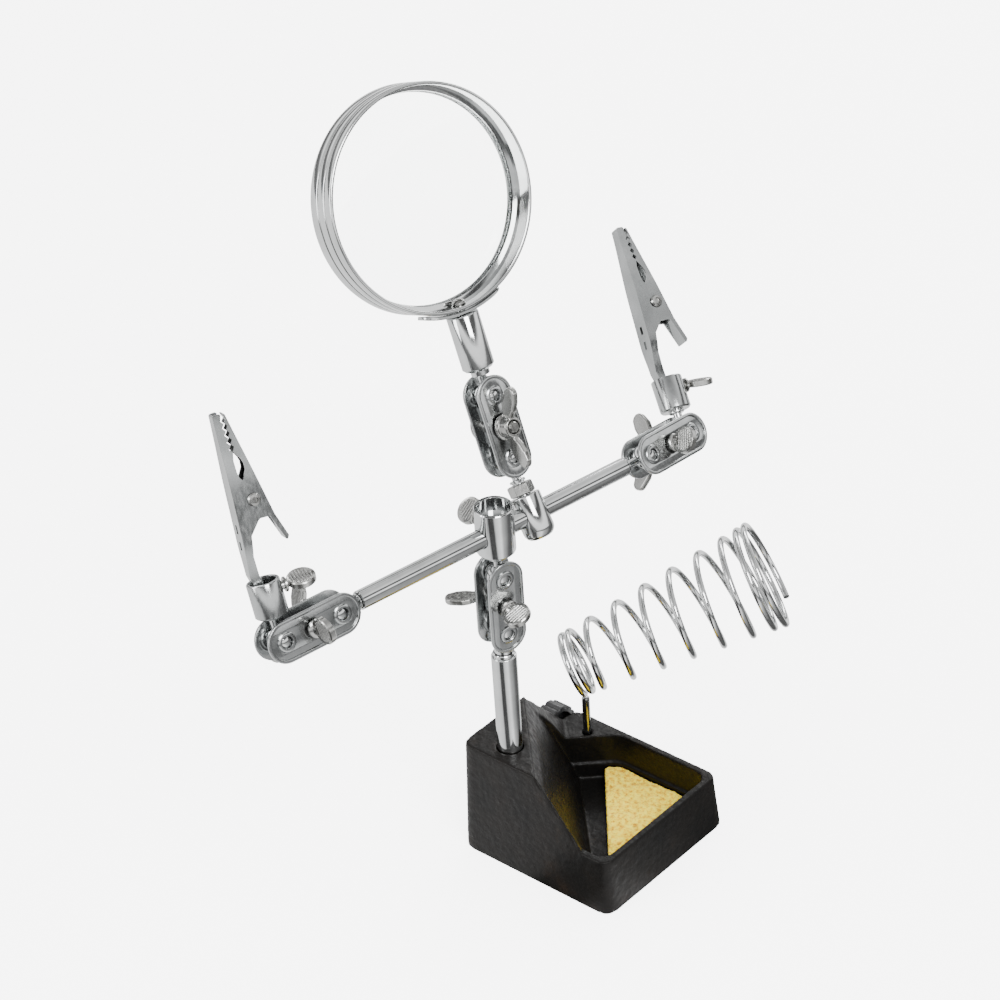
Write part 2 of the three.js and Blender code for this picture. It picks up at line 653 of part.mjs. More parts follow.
function movingJawPiece() {
  const outer = [
    [6.4, -14.4], [7.2, -13.6], [4.9, -6.2], [-0.7, 26], [-1.5, 26],
    ...toothEdge(-1.6, 14.9, TOOTH_DEPTH, false),
    [-1.3, 14.3], [0.4, 11], [0.4, 8.8], [-1.8, 5.2], [-2.4, -2],
    [-1.4, -6], [3.4, -6.4],
  ];
  const inner = [[5.9, -15.2], [4.15, -6], [-1.45, 27], [-8, 27], [-8, -15.2]];
  const jaw = channel(outer, inner, MOVING_JAW_HALF_WIDTH);
  return taperJaw(carved(jaw, rivetBore()), 0);
}

function rivetPiece() {
  const half = FIXED_JAW_HALF_WIDTH + GAP;
  return turned([
    [0, -half - 0.7], [1.6, -half - 0.6], [2, -half], [RIVET_R, -half], [RIVET_R, half],
    [2, half], [1.6, half + 0.6], [0, half + 0.7],
  ], 12).rotateX(Math.PI / 2);
}

// Torsion spring wound round the rivet, with a leg toward each tail.
function jawSpringPiece() {
  const turns = 3.45;
  const stepsPerTurn = 10;
  const steps = Math.round(turns * stepsPerTurn);
  const radius = 2;
  const halfWidth = 1.35;
  const points = [new THREE.Vector3(-4.2, -halfWidth, -7.6), new THREE.Vector3(-2.8, -halfWidth, -3.4)];
  for (let i = 0; i <= steps; i += 1) {
    const angle = Math.PI - (i / stepsPerTurn) * 2 * Math.PI;
    const y = -halfWidth + (2 * halfWidth * i) / steps;
    points.push(new THREE.Vector3(radius * Math.cos(angle), y, -radius * Math.sin(angle)));
  }
  return wire(new THREE.CatmullRomCurve3(points), 0.3, steps + 6, 5);
}

// Collar that holds the clip's tail, in the clip ball's frame: +Z along the clip, +X to the moving jaw.
function collarPiece() {
  const floor = COLLAR_START + 1.6;
  const top = COLLAR_START + COLLAR_LENGTH;
  return carved(
    rod(COLLAR_R, COLLAR_START, top, 24),
    rod(COLLAR_BORE_R, floor, top + 1, 24),
    rod(SHANK_R + GAP, COLLAR_START - 1, floor + 1, 16),
    rod(COLLAR_SCREW_R + GAP, 0, 10, 12).rotateY(Math.PI / 2).translate(0, 0, top - 3.4),
  );
}

function collarScrewPiece() {
  const z = COLLAR_START + COLLAR_LENGTH - 3.4;
  const shank = rod(COLLAR_SCREW_R, -0.1, 8.4, 12);
  const head = paddle(11.2).rotateZ(rad(COLLAR_PADDLE_TURN));
  return joined(shank, head).rotateY(Math.PI / 2).translate(0, 0, z);
}

// ---------------------------------------------------------------- assembly
const station = new THREE.Group();

function put(parent, name, geometry, material) {
  const mesh = new THREE.Mesh(geometry, material);
  mesh.name = name;
  parent.add(mesh);
  return mesh;
}

function groupAt(matrix) {
  const group = new THREE.Group();
  group.applyMatrix4(matrix);
  station.add(group);
  return group;
}

// Base, tray and post
put(station, 'base_casting', basePiece(), CAST);
put(station, 'sponge', spongePiece(), SPONGE);
const postGroup = groupAt(new THREE.Matrix4().setPosition(...POST_XY, 0));
put(postGroup, 'post', postPiece(), CHROME);
put(postGroup, 'post_screw', postScrewPiece(), ZINC);
const washerTop = COUNTERBORE_DEPTH - GAP;
put(postGroup, 'post_washer', ring(POST_SCREW_R + GAP, 5.6, washerTop - 1, washerTop, 20), ZINC);

// Iron holder
const stemGroup = groupAt(new THREE.Matrix4().setPosition(...STEM_XY, 0));
put(stemGroup, 'holder_stem', rod(STEM_R, STEM_FOOT, STEM_TOP, 16), STEEL);
put(groupAt(coilFrame()), 'holder_coil', coilPiece(), CHROME);
const knobFace = new THREE.Vector3(-BASE_X / 2 - 7.2, STEM_XY[1], KNOB_Z);
const knobGroup = groupAt(frame(knobFace, Z_AXIS, X_AXIS));
put(knobGroup, 'holder_knob', knobPiece(), BLACK_PLASTIC);
const holderScrewTip = STEM_XY[0] - STEM_R - GAP - knobFace.x;
put(knobGroup, 'holder_screw', rod(KNOB_SCREW_R, 2.1, holderScrewTip, 12), ZINC);

// A joint: two plates, the screw through them and its wing nut. Z points to the screw's paddle.
function plateJoint(name, origin, direction, paddleSide, paddleTurn, wingTurn) {
  const group = groupAt(frame(origin, direction, paddleSide));
  put(group, `${name}_front_plate`, platePiece(PLATE_INNER), CHROME);
  put(group, `${name}_back_plate`, platePiece(-PLATE_OUTER), CHROME);
  const middle = new THREE.Group();
  middle.position.x = BALL_SPACING / 2;
  group.add(middle);
  const screw = thumbScrew(-PLATE_OUTER - 5.2, PLATE_OUTER + GAP, JOINT_SCREW_R);
  put(middle, `${name}_thumb_screw`, screw, ZINC).rotation.z = rad(paddleTurn);
  put(middle, `${name}_wing_nut`, wingNut(), ZINC).rotation.z = rad(wingTurn);
}

// Names, origin, outward direction, side of the paddle, then the turn of the paddle and of the wings
plateJoint('post_joint', postBall, Z_AXIS, postFacing, -68, 92);
plateJoint('left_joint', leftEnd.rodBall, leftEnd.platesDirection, leftEnd.facing, 96, 50);
plateJoint('right_joint', rightEnd.rodBall, rightEnd.platesDirection, rightEnd.facing, 60, 60);
const magnifierBack = magnifierFacing.clone().negate();
plateJoint('magnifier_joint', magnifierLowerBall, magnifierArm, magnifierBack, 20, 6);

function stud(name, ball, direction, sizes) {
  const hint = Math.abs(direction.z) > 0.9 ? X_AXIS : Z_AXIS;
  put(groupAt(frameAlong(ball, direction, hint)), name, ballStud(sizes), CHROME);
}
const down = Z_AXIS.clone().negate();
const postReach = POST_BALL_Z - POST_TOP - GAP;
stud('post_ball_stud', postBall, down, { shoulderEnd: postReach, shankEnd: postReach + 8 });
stud('clamp_ball_stud', clampBall, Z_AXIS, { shoulderEnd: 6.9, shankEnd: CLAMP_RISE - ROD_R - 2 * GAP });

// Post clamp and cross rod
put(groupAt(frame(rodMiddle, rodSide, Z_AXIS)), 'rod_clamp', rodClampPiece(), CHROME);
const clampScrewFoot = along(rodMiddle, Z_AXIS, CLAMP_SCREW_RISE);
const clampScrewGroup = groupAt(frame(clampScrewFoot, Z_AXIS, rodSide.clone().negate()));
const clampScrew = thumbScrew(ROD_R + GAP, CLAMP_R + 1, JOINT_SCREW_R);
put(clampScrewGroup, 'rod_clamp_screw', clampScrew, ZINC).rotation.z = rad(CLAMP_PADDLE_TURN);
put(groupAt(frame(rodMiddle, rodSide, rodDirection)), 'cross_rod', crossRodPiece(), CHROME);

// Clips at both ends of the rod
function clipArm(side, { outward, rodBall, clipBall, clipAxis, jawSide }) {
  const inward = outward.clone().negate();
  const rodStud = {
    shoulderStart: 7.5, shoulderEnd: ROD_END - GAP, shoulderR: 2.5, shankEnd: ROD_END + 8,
  };
  stud(`${side}_rod_ball_stud`, rodBall, inward, rodStud);
  const clipStud = {
    shoulderStart: 7.1, shoulderEnd: COLLAR_START - GAP, shoulderR: 2.5, shankEnd: COLLAR_START + 1.6,
  };
  stud(`${side}_clip_ball_stud`, clipBall, clipAxis, clipStud);
  const collar = groupAt(frame(clipBall, jawSide, clipAxis));
  put(collar, `${side}_clip_collar`, collarPiece(), CHROME);
  put(collar, `${side}_collar_screw`, collarScrewPiece(), ZINC);
  const jaws = new THREE.Group();
  jaws.position.set(RIVET_OFFSET, 0, RIVET_RISE);
  collar.add(jaws);
  put(jaws, `${side}_fixed_jaw`, fixedJawPiece(), STEEL);
  put(jaws, `${side}_moving_jaw`, movingJawPiece(), STEEL);
  put(jaws, `${side}_jaw_rivet`, rivetPiece(), ZINC);
  put(jaws, `${side}_jaw_spring`, jawSpringPiece(), SPRING_STEEL);
}
clipArm('left', leftEnd);
clipArm('right', rightEnd);

// Magnifier arm
const magnifierClampGroup = groupAt(frame(magnifierClamp, acrossStem, magnifierStem));
put(magnifierClampGroup, 'magnifier_clamp', magnifierClampPiece(), CHROME);
put(magnifierClampGroup, 'magnifier_lock_nut', lockNutPiece(), ZINC);
const lowerReach = {
  shoulderStart: 7.5, shoulderEnd: 8.3, shoulderR: 2.5, shankEnd: MAGNIFIER_BALL_RISE - ROD_R - 2 * GAP,
};
stud('magnifier_lower_ball_stud', magnifierLowerBall, magnifierStem.clone().negate(), lowerReach);
const upperReach = { shoulderEnd: HANDLE_START - GAP, shankEnd: HANDLE_START + 5.6 };
stud('magnifier_upper_ball_stud', magnifierUpperBall, magnifierArm, upperReach);
const handleGroup = groupAt(frame(magnifierUpperBall, headFacing, magnifierArm));
put(handleGroup, 'magnifier_handle', handlePiece(), CHROME);
const handleTop = along(magnifierUpperBall, magnifierArm, LENS_RISE);
const ringMiddle = along(handleTop, headFacing, -RING_SETBACK);
const ringGroup = groupAt(frame(ringMiddle, magnifierArm, headFacing));
put(ringGroup, 'lens_ring', lensRingPiece(), CHROME);
put(ringGroup, 'lens', lensPiece(), GLASS);
const retainer = ring(LENS_R - 1.6, RING_R - RING_WALL - GAP, LENS_BACKSET - 2.2, LENS_BACKSET - 1.3, 48);
put(ringGroup, 'lens_retainer', retainer, STEEL);
put(ringGroup, 'lens_saddle', saddlePiece(), CHROME);
put(ringGroup, 'handle_screw', handleScrewPiece(), ZINC);

export default station;
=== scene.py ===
"""The looks of the helping-hands soldering station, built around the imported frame.

Pieces are drawn in millimetres in their own frame, then set in place in metres with the axes that the
packed joints give."""
import json
import math

import bmesh
import bpy
from mathutils import Matrix, Vector, noise


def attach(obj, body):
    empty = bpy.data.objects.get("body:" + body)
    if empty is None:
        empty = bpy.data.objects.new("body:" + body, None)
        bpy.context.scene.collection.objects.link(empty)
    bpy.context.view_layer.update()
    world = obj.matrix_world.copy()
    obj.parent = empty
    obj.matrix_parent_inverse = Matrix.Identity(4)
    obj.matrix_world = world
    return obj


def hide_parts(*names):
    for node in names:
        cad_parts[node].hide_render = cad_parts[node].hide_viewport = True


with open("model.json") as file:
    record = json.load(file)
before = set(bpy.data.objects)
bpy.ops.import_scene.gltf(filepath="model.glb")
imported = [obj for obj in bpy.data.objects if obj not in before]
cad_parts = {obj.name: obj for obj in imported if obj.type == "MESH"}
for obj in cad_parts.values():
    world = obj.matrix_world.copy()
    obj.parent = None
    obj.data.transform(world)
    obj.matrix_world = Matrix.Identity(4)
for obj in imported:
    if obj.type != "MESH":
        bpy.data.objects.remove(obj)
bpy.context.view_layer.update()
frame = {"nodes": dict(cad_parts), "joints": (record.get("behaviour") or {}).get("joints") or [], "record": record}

MM = 0.001
TAU = 2 * math.pi
X, Y, Z = Vector((1, 0, 0)), Vector((0, 1, 0)), Vector((0, 0, 1))

# ---------------------------------------------------------------- sizes shared with the frame, in mm
BALL_R = 4.0
BALL_SPACING = 20.0
PLATE_HALF_WIDTH = 6.3
PLATE_INNER = 3.1
PLATE_OUTER = 4.2
NECK_R = 1.4
SHANK_R = 2.0
JOINT_SCREW_R = 1.9
ROD_R = 3.0
ROD_HALF = 51.7
POST_XY = (-16.4, -18.9)
POST_R = 4.0
POST_FOOT = 14.3
POST_TOP = 75.9
CLAMP_R = 6.1
RING_R = 34.5
RING_HALF_DEPTH = 6.2
RING_SETBACK = 1.8
LENS_R = 32.9
LENS_BACKSET = -2.7
LENS_RISE = 62.3
HANDLE_START = 8.4
HANDLE_END = 26.2
HEAD_SPIN = math.radians(-3)
COLLAR_START = 8.0
COLLAR_TOP = 18.8
COLLAR_SCREW_Z = 15.4
COLLAR_SCREW_R = 1.3
PADDLE_R = 4.3
RIVET = (3.5, 0, 43.2)

# ---------------------------------------------------------------- frames taken from the joints
record = frame["record"]
joints = {joint["name"]: joint for joint in frame["joints"]}
bodies = record["behaviour"]["bodies"]
body_of = {node: body for body, nodes in bodies.items() for node in nodes}


def anchor(joint):
    return Vector(joints[joint]["pos_m"])


def axis(joint):
    return Vector(joints[joint]["axis"]).normalized()


def basis(origin, x, z):
    """A frame in metres whose pieces are drawn in millimetres."""
    x = (x - z * x.dot(z)).normalized()
    y = z.cross(x)
    turn = Matrix((x, y, z)).transposed().to_4x4()
    return Matrix.Translation(origin) @ turn @ Matrix.Scale(MM, 4)


def joint_frame(name, swing, far):
    """Plates of one ball joint: origin at the first ball, X to the second, Z toward the thumb screw."""
    return basis(anchor(swing), anchor(far) - anchor(swing), axis(name + "_thumb_screw_turn"))


# ---------------------------------------------------------------- mesh tools, all in millimetres
def new_mesh(verts, faces):
    mesh = bpy.data.meshes.new("piece")
    mesh.from_pydata([tuple(v) for v in verts], [], faces)
    mesh.validate()
    return mesh


def lathe(profile, segments=48, start=0.0):
    """Turns [radius, height] points about Z. An open profile has to start and end on the axis."""
    verts, faces, rows = [], [], []
    for r, z in profile:
        if r < 1e-6:
            rows.append([len(verts)] * segments)
            verts.append((0, 0, z))
        else:
            rows.append(list(range(len(verts), len(verts) + segments)))
            for i in range(segments):
                angle = start + TAU * i / segments
                verts.append((r * math.cos(angle), r * math.sin(angle), z))
    for low, high in zip(rows, rows[1:]):
        for i in range(segments):
            j = (i + 1) % segments
            face = []
            for index in (low[i], low[j], high[j], high[i]):
                if index not in face:
                    face.append(index)
            if len(face) > 2:
                faces.append(face)
    return new_mesh(verts, faces)


def hoop(profile, segments=96, start=0.0):
    """Turns a closed [radius, height] section that stays off the axis."""
    return weld(lathe(profile + [profile[0]], segments, start))


def weld(mesh, distance=1e-4):
    work = bmesh.new()
    work.from_mesh(mesh)
    bmesh.ops.remove_doubles(work, verts=work.verts, dist=distance)
    bmesh.ops.recalc_face_normals(work, faces=work.faces)
    work.to_mesh(mesh)
    work.free()
    return mesh


def rod(radius, z0, z1, chamfer=0.25, segments=40):
    return lathe([
        (0, z0), (radius - chamfer, z0), (radius, z0 + chamfer), (radius, z1 - chamfer),
        (radius - chamfer, z1), (0, z1),
    ], segments)


def extrude(outline, z0, z1, holes=(), bevel=0.0, segments=2):
    """A flat outline with holes, thickened from z0 to z1 with its edges rounded inward."""
    curve = bpy.data.curves.new("outline", "CURVE")
    curve.dimensions = "2D"
    curve.fill_mode = "BOTH"
    curve.extrude = (z1 - z0) / 2 - bevel
    curve.bevel_depth = bevel
    curve.bevel_resolution = segments
    curve.offset = -bevel
    for loop in (outline, *holes):
        spline = curve.splines.new("POLY")
        spline.points.add(len(loop) - 1)
        for point, (x, y) in zip(spline.points, loop):
            point.co = (x, y, 0, 1)
        spline.use_cyclic_u = True
    holder = bpy.data.objects.new("outline", curve)
    mesh = bpy.data.meshes.new_from_object(holder)
    bpy.data.objects.remove(holder)
    bpy.data.curves.remove(curve)
    mesh.transform(Matrix.Translation((0, 0, (z0 + z1) / 2)))
    return weld(mesh)


def side_slab(outline, half, bevel=0.0):
    """An outline drawn as [x, z], thickened along Y."""
    flat = extrude(outline, -half, half, bevel=bevel)
    flat.transform(Matrix.Rotation(math.pi / 2, 4, "X"))
    return flat


def box(x0, x1, y0, y1, z0, z1):
    corners = [(x, y, z) for x in (x0, x1) for y in (y0, y1) for z in (z0, z1)]
    faces = [(0, 1, 3, 2), (4, 6, 7, 5), (0, 4, 5, 1), (2, 3, 7, 6), (0, 2, 6, 4), (1, 5, 7, 3)]
    return new_mesh(corners, faces)


def moved(mesh, matrix):
    copy = mesh.copy()
    copy.transform(matrix)
    return copy


def gathered(*meshes):
    """Several shells in one mesh."""
    work = bmesh.new()
    for mesh in meshes:
        work.from_mesh(mesh)
    whole = bpy.data.meshes.new("piece")
    work.to_mesh(whole)
    work.free()
    return whole


def through_modifier(mesh, kind, **settings):
    """The mesh after one modifier."""
    holder = bpy.data.objects.new("work", mesh)
    bpy.context.scene.collection.objects.link(holder)
    modifier = holder.modifiers.new("work", kind)
    for key, value in settings.items():
        setattr(modifier, key, value)
    bpy.context.view_layer.update()
    graph = bpy.context.evaluated_depsgraph_get()
    result = bpy.data.meshes.new_from_object(holder.evaluated_get(graph))
    bpy.data.objects.remove(holder)
    return result


def carved(mesh, *cutters):
    for cutter in cutters:
        tool = bpy.data.objects.new("cutter", cutter)
        bpy.context.scene.collection.objects.link(tool)
        mesh = through_modifier(mesh, "BOOLEAN", operation="DIFFERENCE", solver="EXACT", object=tool)
        bpy.data.objects.remove(tool)
    return mesh


def melted(mesh, voxel, rounds):
    """One skin round all the shells, with softened edges, as a casting has."""
    skin = through_modifier(mesh, "REMESH", mode="VOXEL", voxel_size=voxel)
    return through_modifier(skin, "SMOOTH", factor=0.5, iterations=rounds)


def tube(points, radius, sides=12, cyclic=False):
    curve = bpy.data.curves.new("tube", "CURVE")
    curve.dimensions = "3D"
    curve.bevel_depth = radius
    curve.bevel_resolution = sides // 4
    curve.use_fill_caps = True
    curve.twist_mode = "MINIMUM"
    spline = curve.splines.new("POLY")
    spline.points.add(len(points) - 1)
    for point, co in zip(spline.points, points):
        point.co = (*co, 1)
    spline.use_cyclic_u = cyclic
    holder = bpy.data.objects.new("tube", curve)
    mesh = bpy.data.meshes.new_from_object(holder)
    bpy.data.objects.remove(holder)
    bpy.data.curves.remove(curve)
    return mesh


def arc(cx, cy, radius, start, end, steps):
    """Points round a centre, angles in degrees."""
    turn = [math.radians(start + (end - start) * i / steps) for i in range(steps + 1)]
    return [(cx + radius * math.cos(a), cy + radius * math.sin(a)) for a in turn]


def circle(cx, cy, radius, steps=40):
    return arc(cx, cy, radius, 0, 360 - 360 / steps, steps - 1)


def place(mesh, matrix, node, material, bevel=0.0, smooth=40, also=()):
    """Sets a piece in place of its CAD node, riding on the node's body."""
    mesh.transform(matrix)
    mesh.shade_smooth()
    mesh.set_sharp_from_angle(angle=math.radians(smooth))
    mesh.materials.clear()
    mesh.materials.append(material)
    piece = bpy.data.objects.new(node + "_look", mesh)
    bpy.context.scene.collection.objects.link(piece)
    if bevel:
        rounding = piece.modifiers.new("edges", "BEVEL")
        rounding.width = bevel * MM
        rounding.segments = 2
        rounding.limit_method = "ANGLE"
        rounding.angle_limit = math.radians(35)
        rounding.harden_normals = True
    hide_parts(node, *also)
    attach(piece, body_of[node])
    return piece


# ---------------------------------------------------------------- materials
def fill_ramp(node, stops):
    """Sets a colour ramp's stops, each a position and a colour."""
    elements = node.color_ramp.elements
    while len(elements) < len(stops):
        elements.new(0.5)
    for element, (place_at, color) in zip(elements, stops):
        element.position = place_at
        element.color = (*color, 1)


class Nodes:
    """A material's node tree, with short calls for what the materials share."""

    def __init__(self, name):
        self.material = bpy.data.materials.new(name)
        self.material.use_nodes = True
        self.tree = self.material.node_tree
        self.shader = self.tree.nodes["Principled BSDF"]
        self.coords = self.add("ShaderNodeTexCoord").outputs["Object"]

    def add(self, kind, **inputs):
        node = self.tree.nodes.new(kind)
        for key, value in inputs.items():
            socket = node.inputs[key.replace("_", " ")]
            if isinstance(value, bpy.types.NodeSocket):
                self.tree.links.new(value, socket)
            else:
                socket.default_value = value
        return node

    def set(self, **inputs):
        for key, value in inputs.items():
            socket = self.shader.inputs[key.replace("_", " ")]
            if isinstance(value, bpy.types.NodeSocket):
                self.tree.links.new(value, socket)
            else:
                socket.default_value = value

    def stretched(self, scale):
        mapping = self.add("ShaderNodeMapping", Vector=self.coords)
        mapping.inputs["Scale"].default_value = scale
        return mapping.outputs["Vector"]

    def noise(self, size_mm, detail=3.0, vector=None, roughness=0.5):
        """Noise whose features are about this size."""
        node = self.add("ShaderNodeTexNoise", Vector=vector or self.coords)
        node.inputs["Scale"].default_value = 1 / (size_mm * MM)
        node.inputs["Detail"].default_value = detail
        node.inputs["Roughness"].default_value = roughness
        return node.outputs["Fac"]

    def ramp(self, value, *stops):
        node = self.add("ShaderNodeValToRGB", Fac=value)
        fill_ramp(node, stops)
        return node.outputs["Color"]

    def between(self, value, low, high, from_low=0.3, from_high=0.7):
        node = self.add("ShaderNodeMapRange", Value=value)
        node.inputs["From Min"].default_value = from_low
        node.inputs["From Max"].default_value = from_high
        node.inputs["To Min"].default_value = low
        node.inputs["To Max"].default_value = high
        return node.outputs["Result"]

    def bump(self, height, depth_mm, strength=1.0, under=None):
        node = self.add("ShaderNodeBump", Height=height)
        node.inputs["Distance"].default_value = depth_mm * MM
        node.inputs["Strength"].default_value = strength
        if under is not None:
            self.tree.links.new(under, node.inputs["Normal"])
        return node.outputs["Normal"]


def plated_metal(name, light, dark, rough_low, rough_high, grain=0.006):
    """Bright plating: faint cloudiness, hairline wipe marks and a slightly wavy surface."""
    look = Nodes(name)
    cloud = look.noise(9, 4)
    look.set(Base_Color=look.ramp(cloud, (0.3, dark), (0.7, light)), Metallic=1.0)
    wipe = look.noise(0.8, 2, look.stretched((1, 1, 0.12)))
    look.set(Roughness=look.between(wipe, rough_low, rough_high))
    wavy = look.bump(look.noise(5, 2), 0.05, 0.35)
    look.set(Normal=look.bump(look.noise(0.35, 2), grain, 0.6, wavy))
    return look.material


def cast_enamel():
    """Black enamel over a cast surface: pimples, brown tints and shinier high spots."""
    look = Nodes("cast_enamel")
    patch = look.noise(11, 5, roughness=0.6)
    look.set(Base_Color=look.ramp(
        patch, (0.3, (0.0028, 0.0028, 0.0027)), (0.6, (0.0050, 0.0042, 0.0036)),
        (0.8, (0.011, 0.007, 0.0045))))
    look.set(Roughness=look.between(look.noise(2.2, 4), 0.30, 0.48), Metallic=0.0)
    look.set(Specular_IOR_Level=0.13)
    lumps = look.bump(look.noise(2.6, 3), 0.30, 0.55)
    pimples = look.add("ShaderNodeTexVoronoi", Vector=look.coords)
    pimples.inputs["Scale"].default_value = 1 / (1.7 * MM)
    spots = look.between(pimples.outputs["Distance"], 1.0, 0.0, 0.05, 0.33)
    look.set(Normal=look.bump(look.noise(0.5, 3), 0.06, 0.5, look.bump(spots, 0.10, 0.35, lumps)))
    return look.material


def moulded_plastic():
    look = Nodes("moulded_plastic")
    tint = look.noise(3, 3)
    look.set(Base_Color=look.ramp(tint, (0.3, (0.010, 0.010, 0.011)), (0.7, (0.020, 0.020, 0.021))))
    look.set(Roughness=look.between(look.noise(0.7, 3), 0.30, 0.48))
    look.set(Normal=look.bump(look.noise(0.3, 2), 0.02, 0.5))
    return look.material


def dry_sponge():
    """Cellulose sponge: pale yellow with mustard specks and open pores, with painted shade darkening the pores."""
    look = Nodes("dry_sponge")
    pores = look.add("ShaderNodeTexVoronoi", Vector=look.coords)
    pores.inputs["Scale"].default_value = 1 / (0.9 * MM)
    patch = look.noise(1.5, 6, roughness=0.7)
    tone = look.ramp(
        patch, (0.36, (0.52, 0.24, 0.002)), (0.44, (0.80, 0.48, 0.004)), (0.52, (0.96, 0.72, 0.035)),
        (0.70, (0.99, 0.84, 0.09)))
    # Pore mask: painted shade that darkens the pore hollows to 0.6 of the colour, and also the height of the pore
    # dents
    holes = look.between(pores.outputs["Distance"], 0.6, 1.0, 0.05, 0.30)
    shaded = look.add("ShaderNodeMix")
    shaded.data_type = "RGBA"
    shaded.blend_type = "MULTIPLY"
    shaded.inputs["Factor"].default_value = 1.0
    look.tree.links.new(tone, shaded.inputs["A"])
    look.tree.links.new(holes, shaded.inputs["B"])
    look.set(Base_Color=shaded.outputs["Result"], Roughness=0.92, Sheen_Weight=0.15, Specular_IOR_Level=0.2)
    look.set(Subsurface_Weight=0.08, Subsurface_Scale=0.002)
    look.set(Normal=look.bump(holes, 0.4, 0.8, look.bump(patch, 0.5, 0.8)))
    return look.material


def lens_glass():
    look = Nodes("lens_glass")
    smear = look.noise(14, 4)
    look.set(Base_Color=(0.985, 0.995, 0.992, 1), Transmission_Weight=1.0, IOR=1.5)
    look.set(Roughness=look.between(smear, 0.0, 0.02))
    return look.material


chrome = plated_metal("chrome_plate", (0.60, 0.61, 0.61), (0.48, 0.49, 0.49), 0.05, 0.12)
satin_chrome = plated_metal("satin_chrome", (0.42, 0.43, 0.43), (0.32, 0.33, 0.33), 0.12, 0.22, 0.010)
sheet_steel = plated_metal("plated_sheet", (0.36, 0.37, 0.37), (0.25, 0.26, 0.26), 0.16, 0.28, 0.012)
hardware = plated_metal("plated_hardware", (0.42, 0.42, 0.41), (0.28, 0.28, 0.27), 0.14, 0.28, 0.014)
spring_wire = plated_metal("spring_wire", (0.34, 0.35, 0.35), (0.24, 0.25, 0.25), 0.20, 0.34)
enamel = cast_enamel()
plastic = moulded_plastic()
sponge_foam = dry_sponge()
glass = lens_glass()


# ---------------------------------------------------------------- base and tray
def roughened(mesh, amount, size, seed):
    """Pushes each point along its normal by smooth noise."""
    shift = Vector((seed, seed * 0.7, -seed))
    fine = size * 0.4
    normals = [vertex.normal.copy() for vertex in mesh.vertices]
    points = []
    for vertex, normal in zip(mesh.vertices, normals):
        place_at = vertex.co.copy()
        height = noise.noise(place_at / size + shift) + 0.5 * noise.noise(place_at / fine + shift)
        points.extend(place_at + normal * height * amount)
    mesh.vertices.foreach_set("co", points)
    return mesh


def in_mm(node):
    mesh = frame["nodes"][node].data.copy()
    mesh.transform(Matrix.Scale(1 / MM, 4))
    return weld(mesh)


def base_piece():
    skin = roughened(melted(in_mm("base_casting"), 0.5, 3), 0.07, 1.6, 3.1)
    for vertex in skin.vertices:
        if vertex.co.z < 0.4:
            vertex.co.z = 0.0
    return skin


def sponge_piece():
    """The CAD pad, with a crowned top, ragged edges and torn pores."""
    skin = melted(in_mm("sponge"), 0.42, 2)
    top = max(v.co.z for v in skin.vertices)
    normals = [vertex.normal.copy() for vertex in skin.vertices]
    points = []
    for vertex, normal in zip(skin.vertices, normals):
        place_at = vertex.co.copy()
        if place_at.z > top - 2.5:
            place_at.z += 0.55 * noise.noise(place_at / 5.0 + Vector((8.2, 1.5, 0)))
        pores = noise.noise(place_at / 0.85) + 0.6 * noise.noise(place_at / 0.4)
        points.extend(place_at + normal * 0.22 * pores)
    skin.vertices.foreach_set("co", points)
    return skin


place(base_piece(), Matrix.Scale(MM, 4), "base_casting", enamel, smooth=60)
sponge = place(sponge_piece(), Matrix.Scale(MM, 4), "sponge", sponge_foam, smooth=80)

# ---------------------------------------------------------------- post
post_frame = Matrix.Translation((POST_XY[0] * MM, POST_XY[1] * MM, 0)) @ Matrix.Scale(MM, 4)
post_tube = lathe([
    (0, POST_FOOT), (POST_R - 0.3, POST_FOOT), (POST_R, POST_FOOT + 0.3), (POST_R, POST_TOP - 1.5),
    (POST_R - 0.15, POST_TOP - 1.25), (POST_R - 0.55, POST_TOP - 1.1), (POST_R - 0.6, POST_TOP - 0.25),
    (POST_R - 0.85, POST_TOP), (2.4, POST_TOP), (2.3, POST_TOP - 0.3), (2.3, POST_TOP - 9),
    (0, POST_TOP - 9),
], 96)
place(post_tube, post_frame, "post", chrome)
screw_head = lathe([
    (0, 2.9), (2.6, 2.9), (3.7, 3.1), (4.2, 4.0), (4.2, 6.4), (2.4, 6.4), (2.4, 26.6), (2.0, 27), (0, 27),
], 48)
place(carved(screw_head, box(-6, 6, -0.5, 0.5, 2, 4.4)), post_frame, "post_screw", hardware, bevel=0.12)
washer = hoop([(2.7, 5.75), (5.5, 5.75), (5.6, 5.85), (5.6, 6.6), (5.5, 6.7), (2.7, 6.7)], 64)
place(washer, post_frame, "post_washer", hardware)

# ---------------------------------------------------------------- iron holder
COIL_WIRE_R = 1.05
COIL_TURNS = 9.85
COIL_R_SMALL = 10.0
COIL_R_LARGE = 17.2
COIL_CLOSE_PITCH = 2.6
COIL_OPEN_PITCH = 10.3
COIL_END_PITCH = 2.7
COIL_OPENING = (1.4, 2.3)
COIL_CLOSING = (6.2, 9.2)
COIL_AZIMUTH = math.radians(46.1)
COIL_RISE = math.radians(23.5)
COIL_START = Vector((-25, 21.8, 42.6))
COIL_START_ANGLE = math.radians(151)


def smoothstep(x, low, high):
    t = min(max((x - low) / (high - low), 0), 1)
    return t * t * (3 - 2 * t)


def coil_pitch(turns):
    opening = smoothstep(turns, *COIL_OPENING)
    closing = smoothstep(turns, *COIL_CLOSING)
    wide = COIL_CLOSE_PITCH + (COIL_OPEN_PITCH - COIL_CLOSE_PITCH) * opening
    return wide + (COIL_END_PITCH - COIL_OPEN_PITCH) * closing


